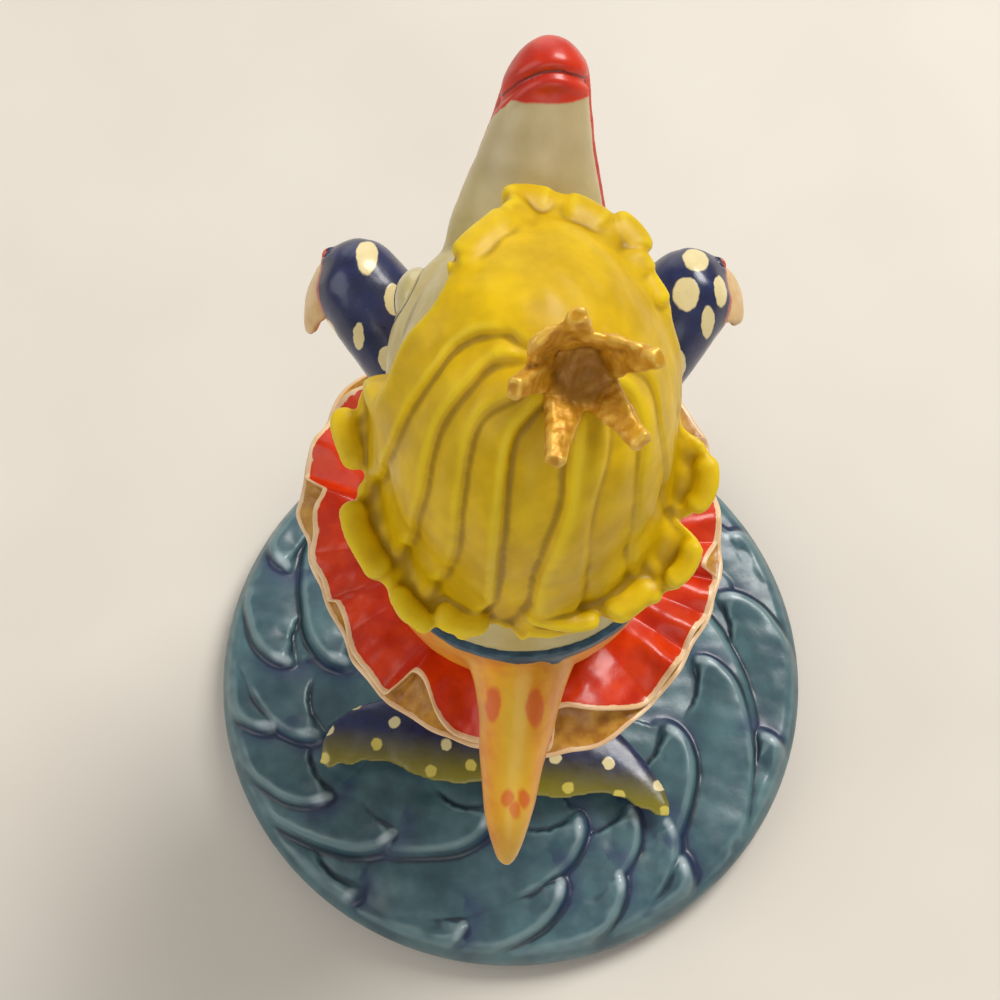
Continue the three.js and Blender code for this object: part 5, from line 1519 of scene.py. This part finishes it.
# A sleeve with its flipper
def makeArm(name, sign, spec):
    offX, offY = spec["place"][name]
    rows = [(spec["shift"] + offX + sign * x, y + offY, z, r, r) for x, y, z, r in spec["sleeve"]]
    points, faces = limb(rows, 64, 90)
    x, y, z = spec["cuffWay"]
    cuffWay = unit(np.array([sign * x, y, z]))
    x, y, z = spec["cuff"]
    cuffAt = np.array([spec["shift"] + offX + sign * x, offY + y, z])
    past = (points - cuffAt) @ cuffWay
    points = points - np.where(past > 0, past * 0.85, 0)[:, None] * cuffWay
    points += normalsOf(points, faces) * (0.22 * np.exp(-(((past + 0.4) / 0.7) ** 2)))[:, None]
    points += normalsOf(points, faces) * (0.06 * wobble(points, 5.0, 61))[:, None]
    paint, hue = Paint(name + "_sleeve_paint"), spec["sleeveColors"]
    at = paint.ragged(0.3, 1.4)
    # painted shade in the hollows and a painted highlight on the edges
    color = paint.patchesShadeAndHighlight(navyColor(paint), hue["hollow"], hue["edge"], 0.5)
    dots = [paint.spot(at, (x, y, z), (w, h, 3.2), 0.07) for x, y, z, w, h in spec["dots"][name]]
    dotted = paint.either(dots)
    color = paint.blend(color, hue["dots"], dotted)
    beyond = paint.side(at, tuple(cuffAt), tuple(cuffWay))
    color = paint.blend(color, hue["cuff"], paint.ramp(beyond, -1.0, -0.8))
    grain = paint.math("ADD", paint.noise(0.9, 4.0), paint.math("MULTIPLY", dotted, 0.8))
    material = paint.finish(color, grain, **spec["sleeveGloss"])
    addPiece(name + "_dotted_sleeve", points, faces, [name + "_sleeve"], material)

    rows = []
    for x, y, z, w, t in spec["flipper"]:
        lift = spec["tipLift"][name] * (113 - z) / 8
        rows.append((spec["shift"] + offX + sign * x, y + offY - lift, z + lift, w, t))
    points, faces = limb(rows, 44, 60, (0, 1, 0))
    points += normalsOf(points, faces) * (0.05 * wobble(points, 5.0, 71))[:, None]
    paint, hue = Paint(name + "_flipper_paint"), spec["finColors"]
    color = paint.mottled(hue["skin"], 3.0)
    # painted shade in the hollows and a painted highlight on the edges
    color = paint.patchesShadeAndHighlight(color, hue["hollow"], hue["edge"], 0.5)
    material = paint.finish(color, paint.noise(0.9, 4.0), **spec["finGloss"])
    addPiece(name + "_fin_tip", points, faces, [name + "_flipper"], material)


makeArm("left", 1, arm)
makeArm("right", -1, arm)
report("sleeves")


# Materials of the frame's own pieces


frameColors = {
    "felt": ((44, 62, 50), (62, 82, 66)),
    "steel": ((150, 152, 156), (176, 178, 182)),
    "dowel": ((196, 150, 96), (150, 106, 60)),
}


def dressFrame(colors):
    felt = Paint("felt")
    fibre = felt.noise(0.35, 5.0)
    color = felt.blend(*colors["felt"], felt.ramp(fibre, 0.3, 0.7))
    feltMade = felt.finish(color, fibre, 0.95, 0.15, specular=0.2)
    steel = Paint("steel")
    brushed = steel.noise(0.4, 3.0, (1, 1, 0.05))
    steelMade = steel.finish(steel.blend(*colors["steel"], brushed), brushed, 0.35, 0.01, metallic=1.0)
    dowel = Paint("dowel")
    rings = dowel.noise(0.8, 4.0, (1, 1, 0.1))
    dowelMade = dowel.finish(dowel.blend(*colors["dowel"], rings), rings, 0.7, 0.03)
    looks = {"felt_pad": feltMade, "tail_rod": steelMade, "crown_pin": steelMade}
    for name in ("waist_pin", "dorsal_pin", "neck_pin", "left_shoulder_pin", "right_shoulder_pin"):
        looks[name] = dowelMade
    for name, material in looks.items():
        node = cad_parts[name]
        node.data.materials.clear()
        node.data.materials.append(material)


dressFrame(frameColors)

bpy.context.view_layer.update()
report("sizes kept")
